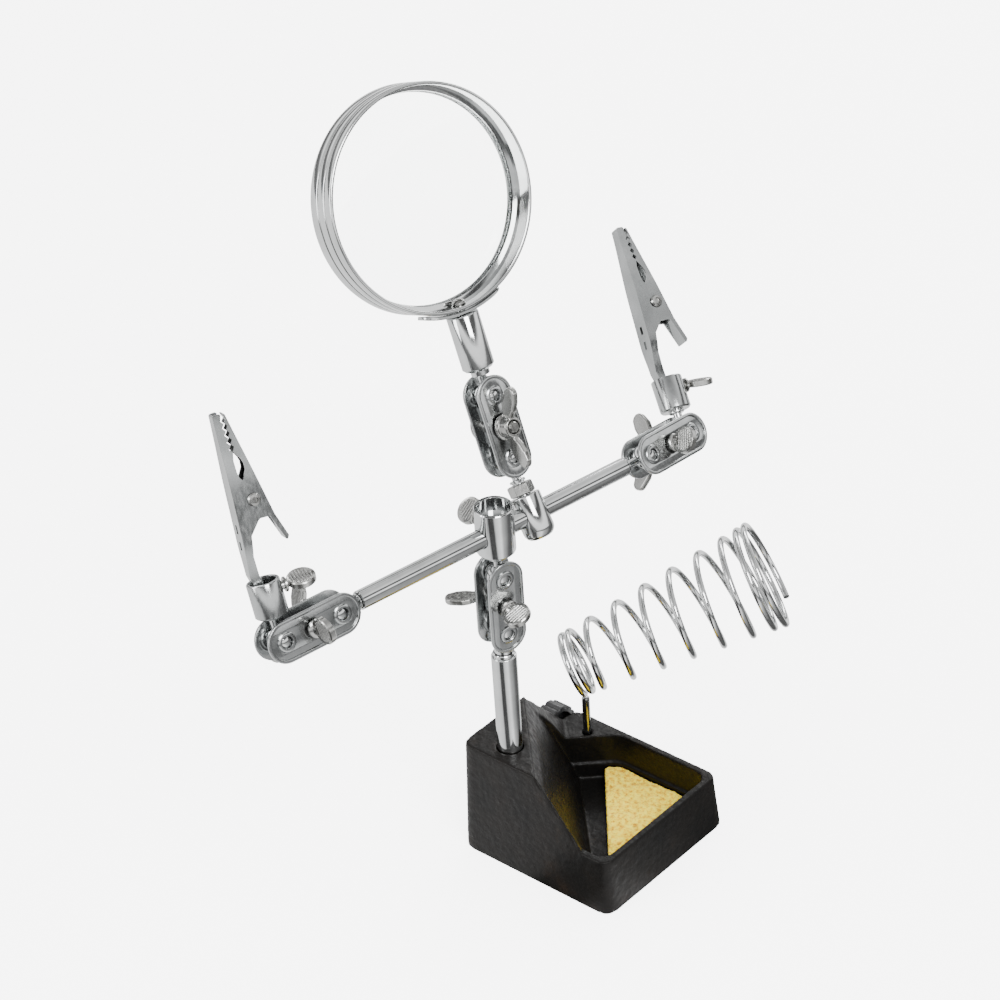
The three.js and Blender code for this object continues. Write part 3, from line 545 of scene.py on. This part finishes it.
def coil_points(per_turn=56):
    steps = round(COIL_TURNS * per_turn)
    travel = [0.0]
    for i in range(steps):
        travel.append(travel[-1] + coil_pitch((i + 0.5) / per_turn) / per_turn)
    points = []
    for i, distance in enumerate(travel):
        radius = COIL_R_SMALL + (COIL_R_LARGE - COIL_R_SMALL) * distance / travel[-1]
        angle = COIL_START_ANGLE - TAU * i / per_turn
        points.append((radius * math.cos(angle), radius * math.sin(angle), distance))
    return points


coil_axis = Vector((
    math.cos(COIL_AZIMUTH) * math.cos(COIL_RISE), math.sin(COIL_AZIMUTH) * math.cos(COIL_RISE),
    math.sin(COIL_RISE)))
place(tube(coil_points(), COIL_WIRE_R, 16), basis(COIL_START * MM, Z, coil_axis), "holder_coil", chrome)
stem_at = anchor("iron_holder_turn")
stem_frame = Matrix.Translation((stem_at.x, stem_at.y, 0)) @ Matrix.Scale(MM, 4)
stem = lathe([(0, 8), (0.9, 8), (1.3, 8.5), (1.3, 32.5), (1.15, 33), (0.7, 33.2), (0, 33.2)], 32)
place(stem, stem_frame, "holder_stem", satin_chrome)


KNOB_R = 8.3
KNOB_FLUTES = 12


def knob_piece():
    """A fluted head with a hollow face and a bore for its screw."""
    outline = []
    steps = KNOB_FLUTES * 12
    for i in range(steps):
        angle = TAU * i / steps
        dip = max(0.0, math.cos(KNOB_FLUTES * angle)) ** 2
        radius = KNOB_R - 0.05 - 0.8 * dip
        outline.append((radius * math.cos(angle), radius * math.sin(angle)))
    body = extrude(outline, 0, 6.4, bevel=0.55, segments=3)
    cup_r = KNOB_R - 1.9
    cup = hoop([(3.2, 2.8), (cup_r, 2.8), (cup_r, 8), (3.2, 8)], 48)
    return carved(body, cup, lathe([(0, 1.8), (1.7, 1.8), (1.7, 8), (0, 8)], 24))


knob_frame = basis(anchor("holder_knob_turn"), Z, X)
place(knob_piece(), knob_frame, "holder_knob", plastic, bevel=0.15, smooth=35)
place(rod(1.5, 2.1, 16.6, 0.3), knob_frame, "holder_screw", hardware)


# ---------------------------------------------------------------- ball joint pieces
def ball_stud(shoulder_end, shank_end, shoulder_start=6.7, shoulder_r=2.9):
    low = math.asin(NECK_R / BALL_R)
    rows = 26
    profile = [(0, -BALL_R)]
    for i in range(1, rows + 1):
        angle = (math.pi - low) * i / rows
        profile.append((BALL_R * math.sin(angle), -BALL_R * math.cos(angle)))
    profile += [
        (NECK_R, shoulder_start - 0.15), (NECK_R + 0.15, shoulder_start),
        (shoulder_r - 0.2, shoulder_start), (shoulder_r, shoulder_start + 0.2),
        (shoulder_r, shoulder_end), (SHANK_R, shoulder_end),
        (SHANK_R, shank_end - 0.4), (SHANK_R - 0.4, shank_end), (0, shank_end),
    ]
    return lathe(profile, 56)


def stadium(half_width, steps=20):
    return arc(BALL_SPACING, 0, half_width, -90, 90, steps) + arc(0, 0, half_width, 90, 270, steps)


def seat_ring():
    """Dished rim round a ball's hole, drawn for the +Z plate."""
    return hoop([
        (3.05, 3.15), (3.05, 4.02), (2.8, 4.22), (2.35, 4.34), (1.95, 4.32), (1.78, 4.15), (1.85, 3.78),
        (2.3, 3.48), (2.7, 3.2),
    ], 48)


def plate(outer_side=1):
    """A stamped side plate with a raised rim and dished ball seats, on the +Z or -Z side of the balls."""
    web = extrude(
        stadium(PLATE_HALF_WIDTH - 0.15), PLATE_INNER, PLATE_OUTER - 0.42,
        [circle(0, 0, 2.95), circle(BALL_SPACING, 0, 2.95), circle(BALL_SPACING / 2, 0, 2.2)], bevel=0.1)
    rim = extrude(
        stadium(PLATE_HALF_WIDTH), PLATE_INNER + 0.1, PLATE_OUTER, [stadium(PLATE_HALF_WIDTH - 1.15)[::-1]],
        bevel=0.3, segments=3)
    shells = [web, rim, seat_ring(), moved(seat_ring(), Matrix.Translation((BALL_SPACING, 0, 0)))]
    whole = gathered(*shells)
    if outer_side < 0:
        whole.transform(Matrix.Scale(-1, 4, Z))
        whole.flip_normals()
    return whole


def paddle(radius=PADDLE_R):
    """A thumb screw's flat head, facing Y, with finger ridges."""
    disc = lathe([
        (0, -0.85), (radius - 0.9, -0.85), (radius - 0.3, -1.05), (radius, -0.75), (radius, 0.75),
        (radius - 0.3, 1.05), (radius - 0.9, 0.85), (0, 0.85),
    ], 48)
    ridges = []
    for i in range(-3, 4):
        offset = i * 0.95
        half = math.sqrt((radius - 1.0) ** 2 - offset ** 2)
        bar = moved(rod(0.32, -half, half, 0.15, 12), Matrix.Rotation(math.pi / 2, 4, "X"))
        ridges += [moved(bar, Matrix.Translation((offset, 0, side))) for side in (0.8, -0.8)]
    whole = gathered(disc, *ridges)
    whole.transform(Matrix.Rotation(math.pi / 2, 4, "X") @ Matrix.Rotation(math.pi / 2, 4, "Z"))
    return whole


def thread_profile(radius, z0, z1, pitch=0.8, depth=0.22):
    """Rings that read as a thread."""
    points = []
    count = int((z1 - z0) / pitch)
    for i in range(count):
        z = z0 + i * pitch
        points += [(radius - depth, z), (radius, z + pitch * 0.5)]
    return points


def thumb_screw(tip, seat, radius, paddle_z, paddle_turn=0.0):
    """A threaded shank with a seat, and a paddle turned about the screw by some degrees."""
    shank = lathe([
        (0, tip), (radius - 0.5, tip), *thread_profile(radius, tip + 0.3, seat - 0.4), (radius, seat),
        (radius + 0.8, seat), (radius + 1, seat + 0.2), (radius + 1, seat + 0.65),
        (radius + 0.7, seat + 0.9), (radius - 0.1, seat + 1.1), (radius - 0.4, seat + 2.2), (0, seat + 2.2),
    ], 40)
    turn = Matrix.Rotation(math.radians(paddle_turn), 4, "Z")
    head = moved(paddle(), Matrix.Translation((0, 0, paddle_z)) @ turn)
    return gathered(shank, head)


def wing_nut():
    """A hub with two upswept wings, melted into one casting, on the -Z side of the plates."""
    seat = -PLATE_OUTER - 0.3
    hub = hoop([
        (2.15, seat - 4.4), (2.6, seat - 4.4), (3.0, seat - 4.0), (3.5, seat - 1.2), (4.2, seat - 0.8),
        (4.2, seat), (2.15, seat),
    ], 40)
    wing = [(2.6, seat - 0.9), (4.2, seat - 1), (7.2, seat - 1.4), (9.4, seat - 2.4), (11.2, seat - 4.2)]
    wing += arc(10.2, seat - 6.5, 2.3, 40, -95, 8)
    wing += [(7.4, seat - 8.0), (5.0, seat - 6.4), (3.4, seat - 4.6), (2.6, seat - 4.2)]
    one = side_slab(wing, 0.95)
    other = moved(one, Matrix.Rotation(math.pi, 4, "Z"))
    return melted(gathered(hub, one, other), 0.24, 3)


nut = wing_nut()
POST_JOINT = joint_frame("post", "post_joint_swing", "clamp_ball_swing")
LEFT_JOINT = joint_frame("left", "left_joint_swing", "left_clip_swing")
RIGHT_JOINT = joint_frame("right", "right_joint_swing", "right_clip_swing")
MAGNIFIER_JOINT = joint_frame("magnifier", "magnifier_joint_swing", "magnifier_head_swing")


def plate_joint(name, matrix, paddle_turn, wing_turn):
    place(plate(1), matrix, name + "_front_plate", satin_chrome)
    place(plate(-1), matrix, name + "_back_plate", satin_chrome)
    middle = matrix @ Matrix.Translation((BALL_SPACING / 2, 0, 0))
    seat = PLATE_OUTER + 0.3
    screw = thumb_screw(-PLATE_OUTER - 5.2, seat, JOINT_SCREW_R, seat + PADDLE_R + 0.3)
    screw_turn = Matrix.Rotation(math.radians(paddle_turn), 4, "Z")
    nut_turn = Matrix.Rotation(math.radians(wing_turn), 4, "Z")
    place(screw, middle @ screw_turn, name + "_thumb_screw", hardware)
    place(nut.copy(), middle @ nut_turn, name + "_wing_nut", hardware)


plate_joint("post_joint", POST_JOINT, -68, 92)
plate_joint("left_joint", LEFT_JOINT, 96, 50)
plate_joint("right_joint", RIGHT_JOINT, 60, 60)
plate_joint("magnifier_joint", MAGNIFIER_JOINT, 20, 6)

rod_axis = (anchor("right_joint_swing") - anchor("left_joint_swing")).normalized()
rod_side = rod_axis.cross(Z)
place(ball_stud(8.0, 16.0), basis(anchor("post_joint_swing"), X, -Z), "post_ball_stud", chrome)
place(ball_stud(6.9, 12.0), basis(anchor("rod_clamp_spin"), X, Z), "clamp_ball_stud", chrome)

# ---------------------------------------------------------------- post clamp and cross rod
rod_middle = (anchor("left_joint_swing") + anchor("right_joint_swing")) / 2
clamp_barrel = lathe([
    (0, -8.4), (3.4, -8.4), (4.0, -8.2), (4.5, -7.6), (4.7, -7.1), (5.2, -6.9), (5.9, -6.3),
    (CLAMP_R, -5.9), (CLAMP_R, 8.9), (CLAMP_R - 0.25, 9.25), (CLAMP_R - 0.6, 9.3), (4.9, 9.1),
    (4.85, 4.7), (0, 4.2),
], 96)
cross_bore = moved(rod(ROD_R + 0.15, -20, 20, 0.1, 64), Matrix.Rotation(math.pi / 2, 4, "X"))
place(carved(clamp_barrel, cross_bore), basis(rod_middle, rod_side, Z), "rod_clamp", chrome, bevel=0.18)
clamp_screw_frame = basis(anchor("rod_clamp_screw_turn"), Z, axis("rod_clamp_screw_turn"))
place(thumb_screw(3.3, 7.1, JOINT_SCREW_R, 11.7, 47), clamp_screw_frame, "rod_clamp_screw", hardware)
cross_rod = lathe([
    (0, -ROD_HALF + 9), (2.3, -ROD_HALF + 9), (2.3, -ROD_HALF + 0.2), (2.5, -ROD_HALF), (2.7, -ROD_HALF),
    (ROD_R, -ROD_HALF + 0.3), (ROD_R, ROD_HALF - 0.3), (2.7, ROD_HALF), (2.5, ROD_HALF),
    (2.3, ROD_HALF - 0.2), (2.3, ROD_HALF - 9), (0, ROD_HALF - 9),
], 80)
place(cross_rod, basis(rod_middle, rod_side, rod_axis), "cross_rod", chrome)


# ---------------------------------------------------------------- spring clips
TOOTH = 2.1
TEETH = 5
TOOTH_DEPTH = 0.8
RIVET_HOLE_R = 1.5


def tooth_edge(x, z0, depth):
    """Points of a row of teeth along Z, each rising to a blunt tip at x + depth."""
    points = []
    shoulder = x + depth * 0.8
    for i in range(TEETH):
        z = z0 + i * TOOTH
        points += [
            (x, z), (shoulder, z + TOOTH * 0.4), (x + depth, z + TOOTH * 0.5), (shoulder, z + TOOTH * 0.6),
        ]
    return points


def tapered(mesh, tail):
    """Narrows a jaw toward its tip, and toward its tail by the share asked for."""
    for vertex in mesh.vertices:
        to_tip = smoothstep(vertex.co.z, 2, 27) * 0.45
        to_tail = tail * smoothstep(-vertex.co.z, 12, 23) * 0.42
        vertex.co.y *= 1 - to_tip - to_tail
    return mesh


def sliced(mesh, step=2.0):
    """Cuts across Z, so that a long channel can narrow smoothly."""
    work = bmesh.new()
    work.from_mesh(mesh)
    for i in range(-17, 14):
        geometry = work.verts[:] + work.edges[:] + work.faces[:]
        bmesh.ops.bisect_plane(work, geom=geometry, plane_co=(0, 0, i * step), plane_no=(0, 0, 1))
    work.to_mesh(mesh)
    work.free()
    return mesh


def cross_pin(radius, x, z, length=12, segments=32):
    pin = moved(rod(radius, -length / 2, length / 2, 0.02, segments), Matrix.Rotation(math.pi / 2, 4, "X"))
    pin.transform(Matrix.Translation((x, 0, z)))
    return pin


def fixed_jaw():
    sheet = 0.6
    tail = -32.5
    outer = [(-6.5, tail), (-4.2, tail), (-4.2, -25), (-4.6, -16), (-3.6, -10)]
    outer += arc(-3.3, -0.7, 6.3, -62, 62, 24)
    outer += [(-2.2, 7.2), (-2.45, 9), (-2.4, 12.4), (-1.9, 14.3)]
    outer += [*tooth_edge(-1.9, 14.8, -TOOTH_DEPTH), (-2.1, 26.0)]
    outer += [(-2.6, 26.4), (-4.2, 26.4), (-4.6, 26.0), (-7.2, -22), (-6.5, -25)]
    inner = [
        (-6.5 + sheet, tail - 1), (9, tail - 1), (9, 28), (-4.6 + sheet, 28), (-7.2 + sheet, -21.8),
        (-6.5 + sheet, -25),
    ]
    channel = carved(side_slab(outer, 3.5), side_slab(inner, 3.5 - sheet), cross_pin(RIVET_HOLE_R, 0, 0))
    holes = [box(-9, -5, -0.7, 0.7, z, z + 2.6) for z in (-14, -9)]
    return tapered(sliced(carved(channel, *holes)), 1)


def moving_jaw():
    outer = [
        (6.2, -14.6), (6.7, -14.5), (7.2, -13.6), (4.9, -6.2), (-0.7, 25.6), (-1.0, 26), (-1.5, 26),
        *tooth_edge(-1.6, 14.9, TOOTH_DEPTH)[::-1], (-1.3, 14.3), (0.0, 12.0), (0.4, 10.6), (0.3, 8.8),
        (-1.8, 5.2), (-2.4, -2), (-1.4, -6), (3.4, -6.4),
    ]
    inner = [(5.9, -15.6), (4.15, -6), (-1.45, 27), (-8, 27), (-8, -15.6)]
    channel = carved(side_slab(outer, 2.6), side_slab(inner, 2.0), cross_pin(RIVET_HOLE_R, 0, 0))
    return tapered(sliced(channel), 0)


def jaw_rivet():
    half = 3.85
    pin = lathe([
        (0, -half - 0.15), (0.8, -half - 0.15), (0.95, -half - 0.65), (1.6, -half - 0.6), (2, -half),
        (1.2, -half), (1.2, half), (2, half), (1.6, half + 0.6), (0.95, half + 0.65), (0.8, half + 0.15),
        (0, half + 0.15),
    ], 40)
    return moved(pin, Matrix.Rotation(math.pi / 2, 4, "X"))


def jaw_spring():
    turns = 3.45
    half = 1.35
    steps = 120
    points = [(-4.2, -half, -7.6), (-3.5, -half, -5.5), (-2.6, -half, -2.6)]
    for i in range(steps + 1):
        angle = math.pi - turns * TAU * i / steps
        points.append((2 * math.cos(angle), -half + 2 * half * i / steps, -2 * math.sin(angle)))
    return tube(points, 0.3, 12)


collar_screw_place = Matrix.Translation((0, 0, COLLAR_SCREW_Z)) @ Matrix.Rotation(math.pi / 2, 4, "Y")


def collar():
    body = lathe([
        (0, COLLAR_START), (4.5, COLLAR_START), (5, COLLAR_START + 0.5), (5, COLLAR_TOP - 0.4),
        (4.8, COLLAR_TOP - 0.1), (4.5, COLLAR_TOP), (4.1, COLLAR_TOP - 0.1), (4, COLLAR_TOP - 0.4),
        (4, COLLAR_START + 1.6), (0, COLLAR_START + 1.6),
    ], 80)
    return carved(body, moved(rod(1.6, 0, 10, 0.02, 32), collar_screw_place))


def collar_screw():
    return moved(thumb_screw(-0.1, 5.7, COLLAR_SCREW_R, 11.2, 108), collar_screw_place)


for side in ("left", "right"):
    outward = rod_axis if side == "right" else -rod_axis
    stud_frame = basis(anchor(side + "_joint_swing"), Z, -outward)
    place(ball_stud(8.0, 16.3, 7.5, 2.5), stud_frame, side + "_rod_ball_stud", chrome)
    clip_ball = anchor(side + "_clip_spin")
    clip_axis = (anchor(side + "_collar_screw_turn") - clip_ball).normalized()
    clip = basis(clip_ball, axis(side + "_collar_screw_turn"), clip_axis)
    clip_stud = ball_stud(COLLAR_START - 0.3, COLLAR_START + 1.6, 7.1, 2.5)
    place(clip_stud, clip, side + "_clip_ball_stud", chrome)
    place(collar(), clip, side + "_clip_collar", satin_chrome, bevel=0.1)
    place(collar_screw(), clip, side + "_collar_screw", hardware)
    jaws = clip @ Matrix.Translation(RIVET)
    place(fixed_jaw(), jaws, side + "_fixed_jaw", sheet_steel, bevel=0.12)
    place(moving_jaw(), jaws, side + "_moving_jaw", sheet_steel, bevel=0.12)
    place(jaw_rivet(), jaws, side + "_jaw_rivet", hardware)
    place(jaw_spring(), jaws, side + "_jaw_spring", spring_wire)

# ---------------------------------------------------------------- magnifier
magnifier_stem = axis("magnifier_lock_nut_turn")
clamp_frame = basis(anchor("magnifier_clamp_turn"), rod_axis.cross(magnifier_stem), magnifier_stem)
magnifier_barrel = lathe([
    (0, -8), (2.4, -7.95), (3.5, -7.6), (4.3, -6.9), (4.8, -6.0), (5, -5.0), (5, 5.5), (4.8, 5.9), (4.5, 6),
    (2.3, 6), (2.3, 0), (0, 0),
], 80)
magnifier_bore = moved(rod(ROD_R + 0.15, -20, 20, 0.1, 64), Matrix.Rotation(math.pi / 2, 4, "X"))
place(carved(magnifier_barrel, magnifier_bore), clamp_frame, "magnifier_clamp", chrome, bevel=0.15)
lock_nut = lathe([(0, 6.3), (3.6, 6.3), (4.05, 6.6), (4.05, 9.6), (3.6, 9.9), (0, 9.9)], 6)
lock_nut = carved(lock_nut, rod(2.2, 5, 12, 0.02))
place(lock_nut, clamp_frame, "magnifier_lock_nut", hardware, bevel=0.15, smooth=20)
lower_stud = ball_stud(8.3, 15.1, shoulder_start=7.5, shoulder_r=2.5)
lower_frame = basis(anchor("magnifier_ball_spin"), X, -magnifier_stem)
place(lower_stud, lower_frame, "magnifier_lower_ball_stud", chrome)

arm = (anchor("magnifier_head_spin") - anchor("magnifier_joint_swing")).normalized()
facing = Matrix.Rotation(HEAD_SPIN, 3, arm) @ -axis("magnifier_thumb_screw_turn")
head_frame = basis(anchor("magnifier_head_spin"), facing, arm)
upper_stud = ball_stud(HANDLE_START - 0.3, HANDLE_START + 5.6)
place(upper_stud, head_frame, "magnifier_upper_ball_stud", chrome)
handle = lathe([
    (0, HANDLE_START), (2.3, HANDLE_START), (3.4, HANDLE_START), (4.2, HANDLE_START + 0.25),
    (5, HANDLE_START + 1.1), (5, HANDLE_END - 0.4), (4.8, HANDLE_END - 0.1), (4.6, HANDLE_END),
    (0, HANDLE_END),
], 96)
place(handle, head_frame, "magnifier_handle", chrome)

ring_middle = anchor("magnifier_head_spin") + arm * LENS_RISE * MM - facing * RING_SETBACK * MM
ring_frame = basis(ring_middle, arm, facing)
radial_down = Matrix.Translation((0, 0, RING_SETBACK)) @ Matrix.Rotation(-math.pi / 2, 4, "Y")


def ring_band(low, high):
    """Outer points of one raised band of the ring."""
    return [(RING_R - 0.35, low), (RING_R - 0.08, low + 0.22), (RING_R, low + 0.5), (RING_R, high - 0.5),
            (RING_R - 0.08, high - 0.22), (RING_R - 0.35, high)]


depth = RING_HALF_DEPTH
inner_r = RING_R - 1.2
seat = LENS_BACKSET + 1.3
ring_section = [
    (inner_r + 0.3, -depth), *ring_band(-depth + 0.1, -1.9), *ring_band(-1.5, 2.1),
    *ring_band(2.5, depth - 0.1), (inner_r + 0.5, depth), (inner_r + 0.1, depth - 0.2),
    (inner_r, depth - 0.7), (inner_r, seat + 0.7),
    (inner_r - 1.4, seat + 0.6), (inner_r - 1.5, seat + 0.1), (inner_r - 1.4, seat), (inner_r, seat),
    (inner_r, -depth + 0.4),
]
place(hoop(ring_section, 192), ring_frame, "lens_ring", chrome, smooth=50)


def lens_piece(rings=24):
    edge, bulge = 1.0, 2.3
    back = [(LENS_R * i / rings, -edge - bulge * (1 - (i / rings) ** 2)) for i in range(rings + 1)]
    front = [(LENS_R * i / rings, edge + bulge * (1 - (i / rings) ** 2)) for i in range(rings, -1, -1)]
    return moved(lathe(back + front, 160), Matrix.Translation((0, 0, LENS_BACKSET)))


place(lens_piece(), ring_frame, "lens", glass, smooth=50)
retainer_section = [
    (LENS_R - 1.5, LENS_BACKSET - 2.15), (inner_r - 0.35, LENS_BACKSET - 2.15),
    (inner_r - 0.3, LENS_BACKSET - 2.05), (inner_r - 0.3, LENS_BACKSET - 1.35),
    (LENS_R - 1.5, LENS_BACKSET - 1.35), (LENS_R - 1.6, LENS_BACKSET - 1.75),
]
place(hoop(retainer_section, 160), ring_frame, "lens_retainer", satin_chrome)


def saddle_piece():
    """A curved strip under the ring, narrowing to rounded ends."""
    inner, thick, reach = RING_R + 0.3, 1.1, 23.0
    steps = 60
    verts, faces = [], []
    for i in range(steps + 1):
        part = 2 * i / steps - 1
        angle = math.radians(180 + reach * part)
        end = math.sqrt(max(0.0, 1 - max(0.0, (abs(part) - 0.72) / 0.28) ** 2))
        half = 3.8 * (0.35 + 0.65 * end)
        soft = min(0.25, half * 0.4)
        section = [
            (inner, -half + soft), (inner, half - soft), (inner + soft, half), (inner + thick - soft, half),
            (inner + thick, half - soft), (inner + thick, -half + soft), (inner + thick - soft, -half),
            (inner + soft, -half),
        ]
        for r, z in section:
            verts.append((r * math.cos(angle), r * math.sin(angle), z + RING_SETBACK))
    for i in range(steps):
        for k in range(8):
            a, b = i * 8 + k, i * 8 + (k + 1) % 8
            faces.append((a, b, b + 8, a + 8))
    faces.append(tuple(range(8)))
    faces.append(tuple(range(steps * 8 + 7, steps * 8 - 1, -1)))
    return weld(new_mesh(verts, faces))


place(saddle_piece(), ring_frame, "lens_saddle", chrome)
screw_low = inner_r - 0.3
screw_tip = LENS_RISE - HANDLE_END + 6
handle_screw = lathe([
    (0, screw_low - 1.3), (1.2, screw_low - 1.3), (1.7, screw_low - 1.05), (2.1, screw_low - 0.5),
    (2.1, screw_low), (1.25, screw_low), (1.25, screw_tip - 0.3), (1, screw_tip), (0, screw_tip),
], 40)
handle_screw = carved(handle_screw, box(-3, 3, -0.3, 0.3, screw_low - 2, screw_low - 0.75))
place(handle_screw, ring_frame @ radial_down, "handle_screw", hardware, bevel=0.06)

# ---------------------------------------------------------------- floor, light and camera
FLOOR_HALF = 3.0
floor_corners = [(FLOOR_HALF * x, FLOOR_HALF * y, 0) for x, y in ((-1, -1), (1, -1), (1, 1), (-1, 1))]
floor_mesh = new_mesh(floor_corners, [(0, 1, 2, 3)])
# Share of a full turn, counted from -X, and how bright reflections see the floor in that direction
FLOOR_SECTORS = [
    (0.00, 1.6), (0.15, 1.8), (0.23, 1.4), (0.26, 0.10), (0.33, 0.12), (0.36, 1.5), (0.43, 2.2),
    (0.48, 0.9), (0.60, 0.20), (0.70, 0.15), (0.76, 1.8), (1.00, 1.6),
]
# Sine of the height above the horizon, and how bright reflections see the studio there
SKY_BANDS = [
    (0.0, 0.25), (0.12, 0.35), (0.20, 2.0), (0.38, 2.2), (0.48, 0.18), (0.62, 0.15), (0.70, 1.8),
    (1.0, 0.5),
]
# How bright the sky is to all but reflections, and how strongly the floor glows to all but diffuse rays
PAPER_LIGHT = 1.9
PAPER_GLOW = 4.5


def greys(levels):
    """Ramp stops from positions and grey levels."""
    return [(place_at, (level, level, level)) for place_at, level in levels]


def paper_floor():
    """White paper that glows a little. Reflections see it in paler and darker sectors instead."""
    paper = Nodes("paper_floor")
    tint = paper.noise(300, 2)
    paper.set(Base_Color=paper.ramp(tint, (0.3, (0.90, 0.90, 0.90)), (0.7, (0.92, 0.92, 0.92))))
    paper.set(Roughness=0.9, Specular_IOR_Level=0.1, Emission_Color=(1, 1, 1, 1))
    path = paper.add("ShaderNodeLightPath")
    paper.set(Emission_Strength=paper.between(path.outputs["Is Diffuse Ray"], PAPER_GLOW, 0, 0, 1))
    turn = paper.add("ShaderNodeTexGradient", Vector=paper.coords)
    turn.gradient_type = "RADIAL"
    sectors = paper.ramp(turn.outputs["Fac"], *greys(FLOOR_SECTORS))
    glow = paper.add("ShaderNodeEmission", Color=sectors)
    mirrored = paper.add("ShaderNodeMath")
    mirrored.operation = "SUBTRACT"
    mirrored.use_clamp = True
    paper.tree.links.new(path.outputs["Is Glossy Ray"], mirrored.inputs[0])
    paper.tree.links.new(path.outputs["Is Transmission Ray"], mirrored.inputs[1])
    mix = paper.add("ShaderNodeMixShader", Fac=mirrored.outputs["Value"])
    link = paper.tree.links.new
    link(paper.shader.outputs["BSDF"], mix.inputs[1])
    link(glow.outputs["Emission"], mix.inputs[2])
    link(mix.outputs["Shader"], paper.tree.nodes["Material Output"].inputs["Surface"])
    return paper.material


floor_mesh.materials.append(paper_floor())
floor = bpy.data.objects.new("floor", floor_mesh)
bpy.context.scene.collection.objects.link(floor)


def area_light(name, position, target, size, power, color=(1, 1, 1)):
    data = bpy.data.lights.new(name, "AREA")
    data.shape = "RECTANGLE"
    data.size, data.size_y = size
    data.energy = power
    data.color = color
    lamp = bpy.data.objects.new(name, data)
    lamp.location = position
    lamp.rotation_euler = (Vector(target) - Vector(position)).to_track_quat("-Z", "Y").to_euler()
    bpy.context.scene.collection.objects.link(lamp)


centre = (0, 0, 0.12)
area_light("key", (0.75, -0.35, 0.95), centre, (0.5, 0.5), 14)
area_light("side", (-0.45, -0.9, 0.55), centre, (0.35, 0.7), 6)
area_light("rim", (-0.3, 0.9, 0.7), centre, (0.7, 0.25), 6)


def studio_world():
    """Pale all round, with darker bands that only reflections see, so that metal reads as metal."""
    world = bpy.data.worlds.new("studio")
    world.use_nodes = True
    tree = world.node_tree
    tree.nodes.clear()
    make, link = tree.nodes.new, tree.links.new
    direction = make("ShaderNodeTexCoord").outputs["Generated"]
    split = make("ShaderNodeSeparateXYZ")
    link(direction, split.inputs["Vector"])
    height = make("ShaderNodeValToRGB")
    link(split.outputs["Z"], height.inputs["Fac"])
    fill_ramp(height, greys(SKY_BANDS))
    path = make("ShaderNodeLightPath")
    mix = make("ShaderNodeMix")
    mix.data_type = "RGBA"
    link(path.outputs["Is Glossy Ray"], mix.inputs["Factor"])
    mix.inputs["A"].default_value = (PAPER_LIGHT, PAPER_LIGHT, PAPER_LIGHT, 1)
    link(height.outputs["Color"], mix.inputs["B"])
    background = make("ShaderNodeBackground")
    link(mix.outputs["Result"], background.inputs["Color"])
    background.inputs["Strength"].default_value = 1.0
    link(background.outputs["Background"], make("ShaderNodeOutputWorld").inputs["Surface"])
    bpy.context.scene.world = world


studio_world()

camera_data = bpy.data.cameras.new("camera")
camera_data.sensor_width = 36
camera_data.lens = 113.7
camera_data.clip_start = 0.05
camera = bpy.data.objects.new("camera", camera_data)
right = Vector((0.7561, 0.6519, -0.0584)).normalized()
backward = Vector((0.5716, -0.6143, 0.5439)).normalized()
upward = backward.cross(right).normalized()
right = upward.cross(backward)
facing_axes = Matrix((right, upward, backward)).transposed().to_4x4()
camera.matrix_world = Matrix.Translation((0.52299, -0.59543, 0.64285)) @ facing_axes
bpy.context.scene.collection.objects.link(camera)
bpy.context.scene.camera = camera

bpy.context.view_layer.update()
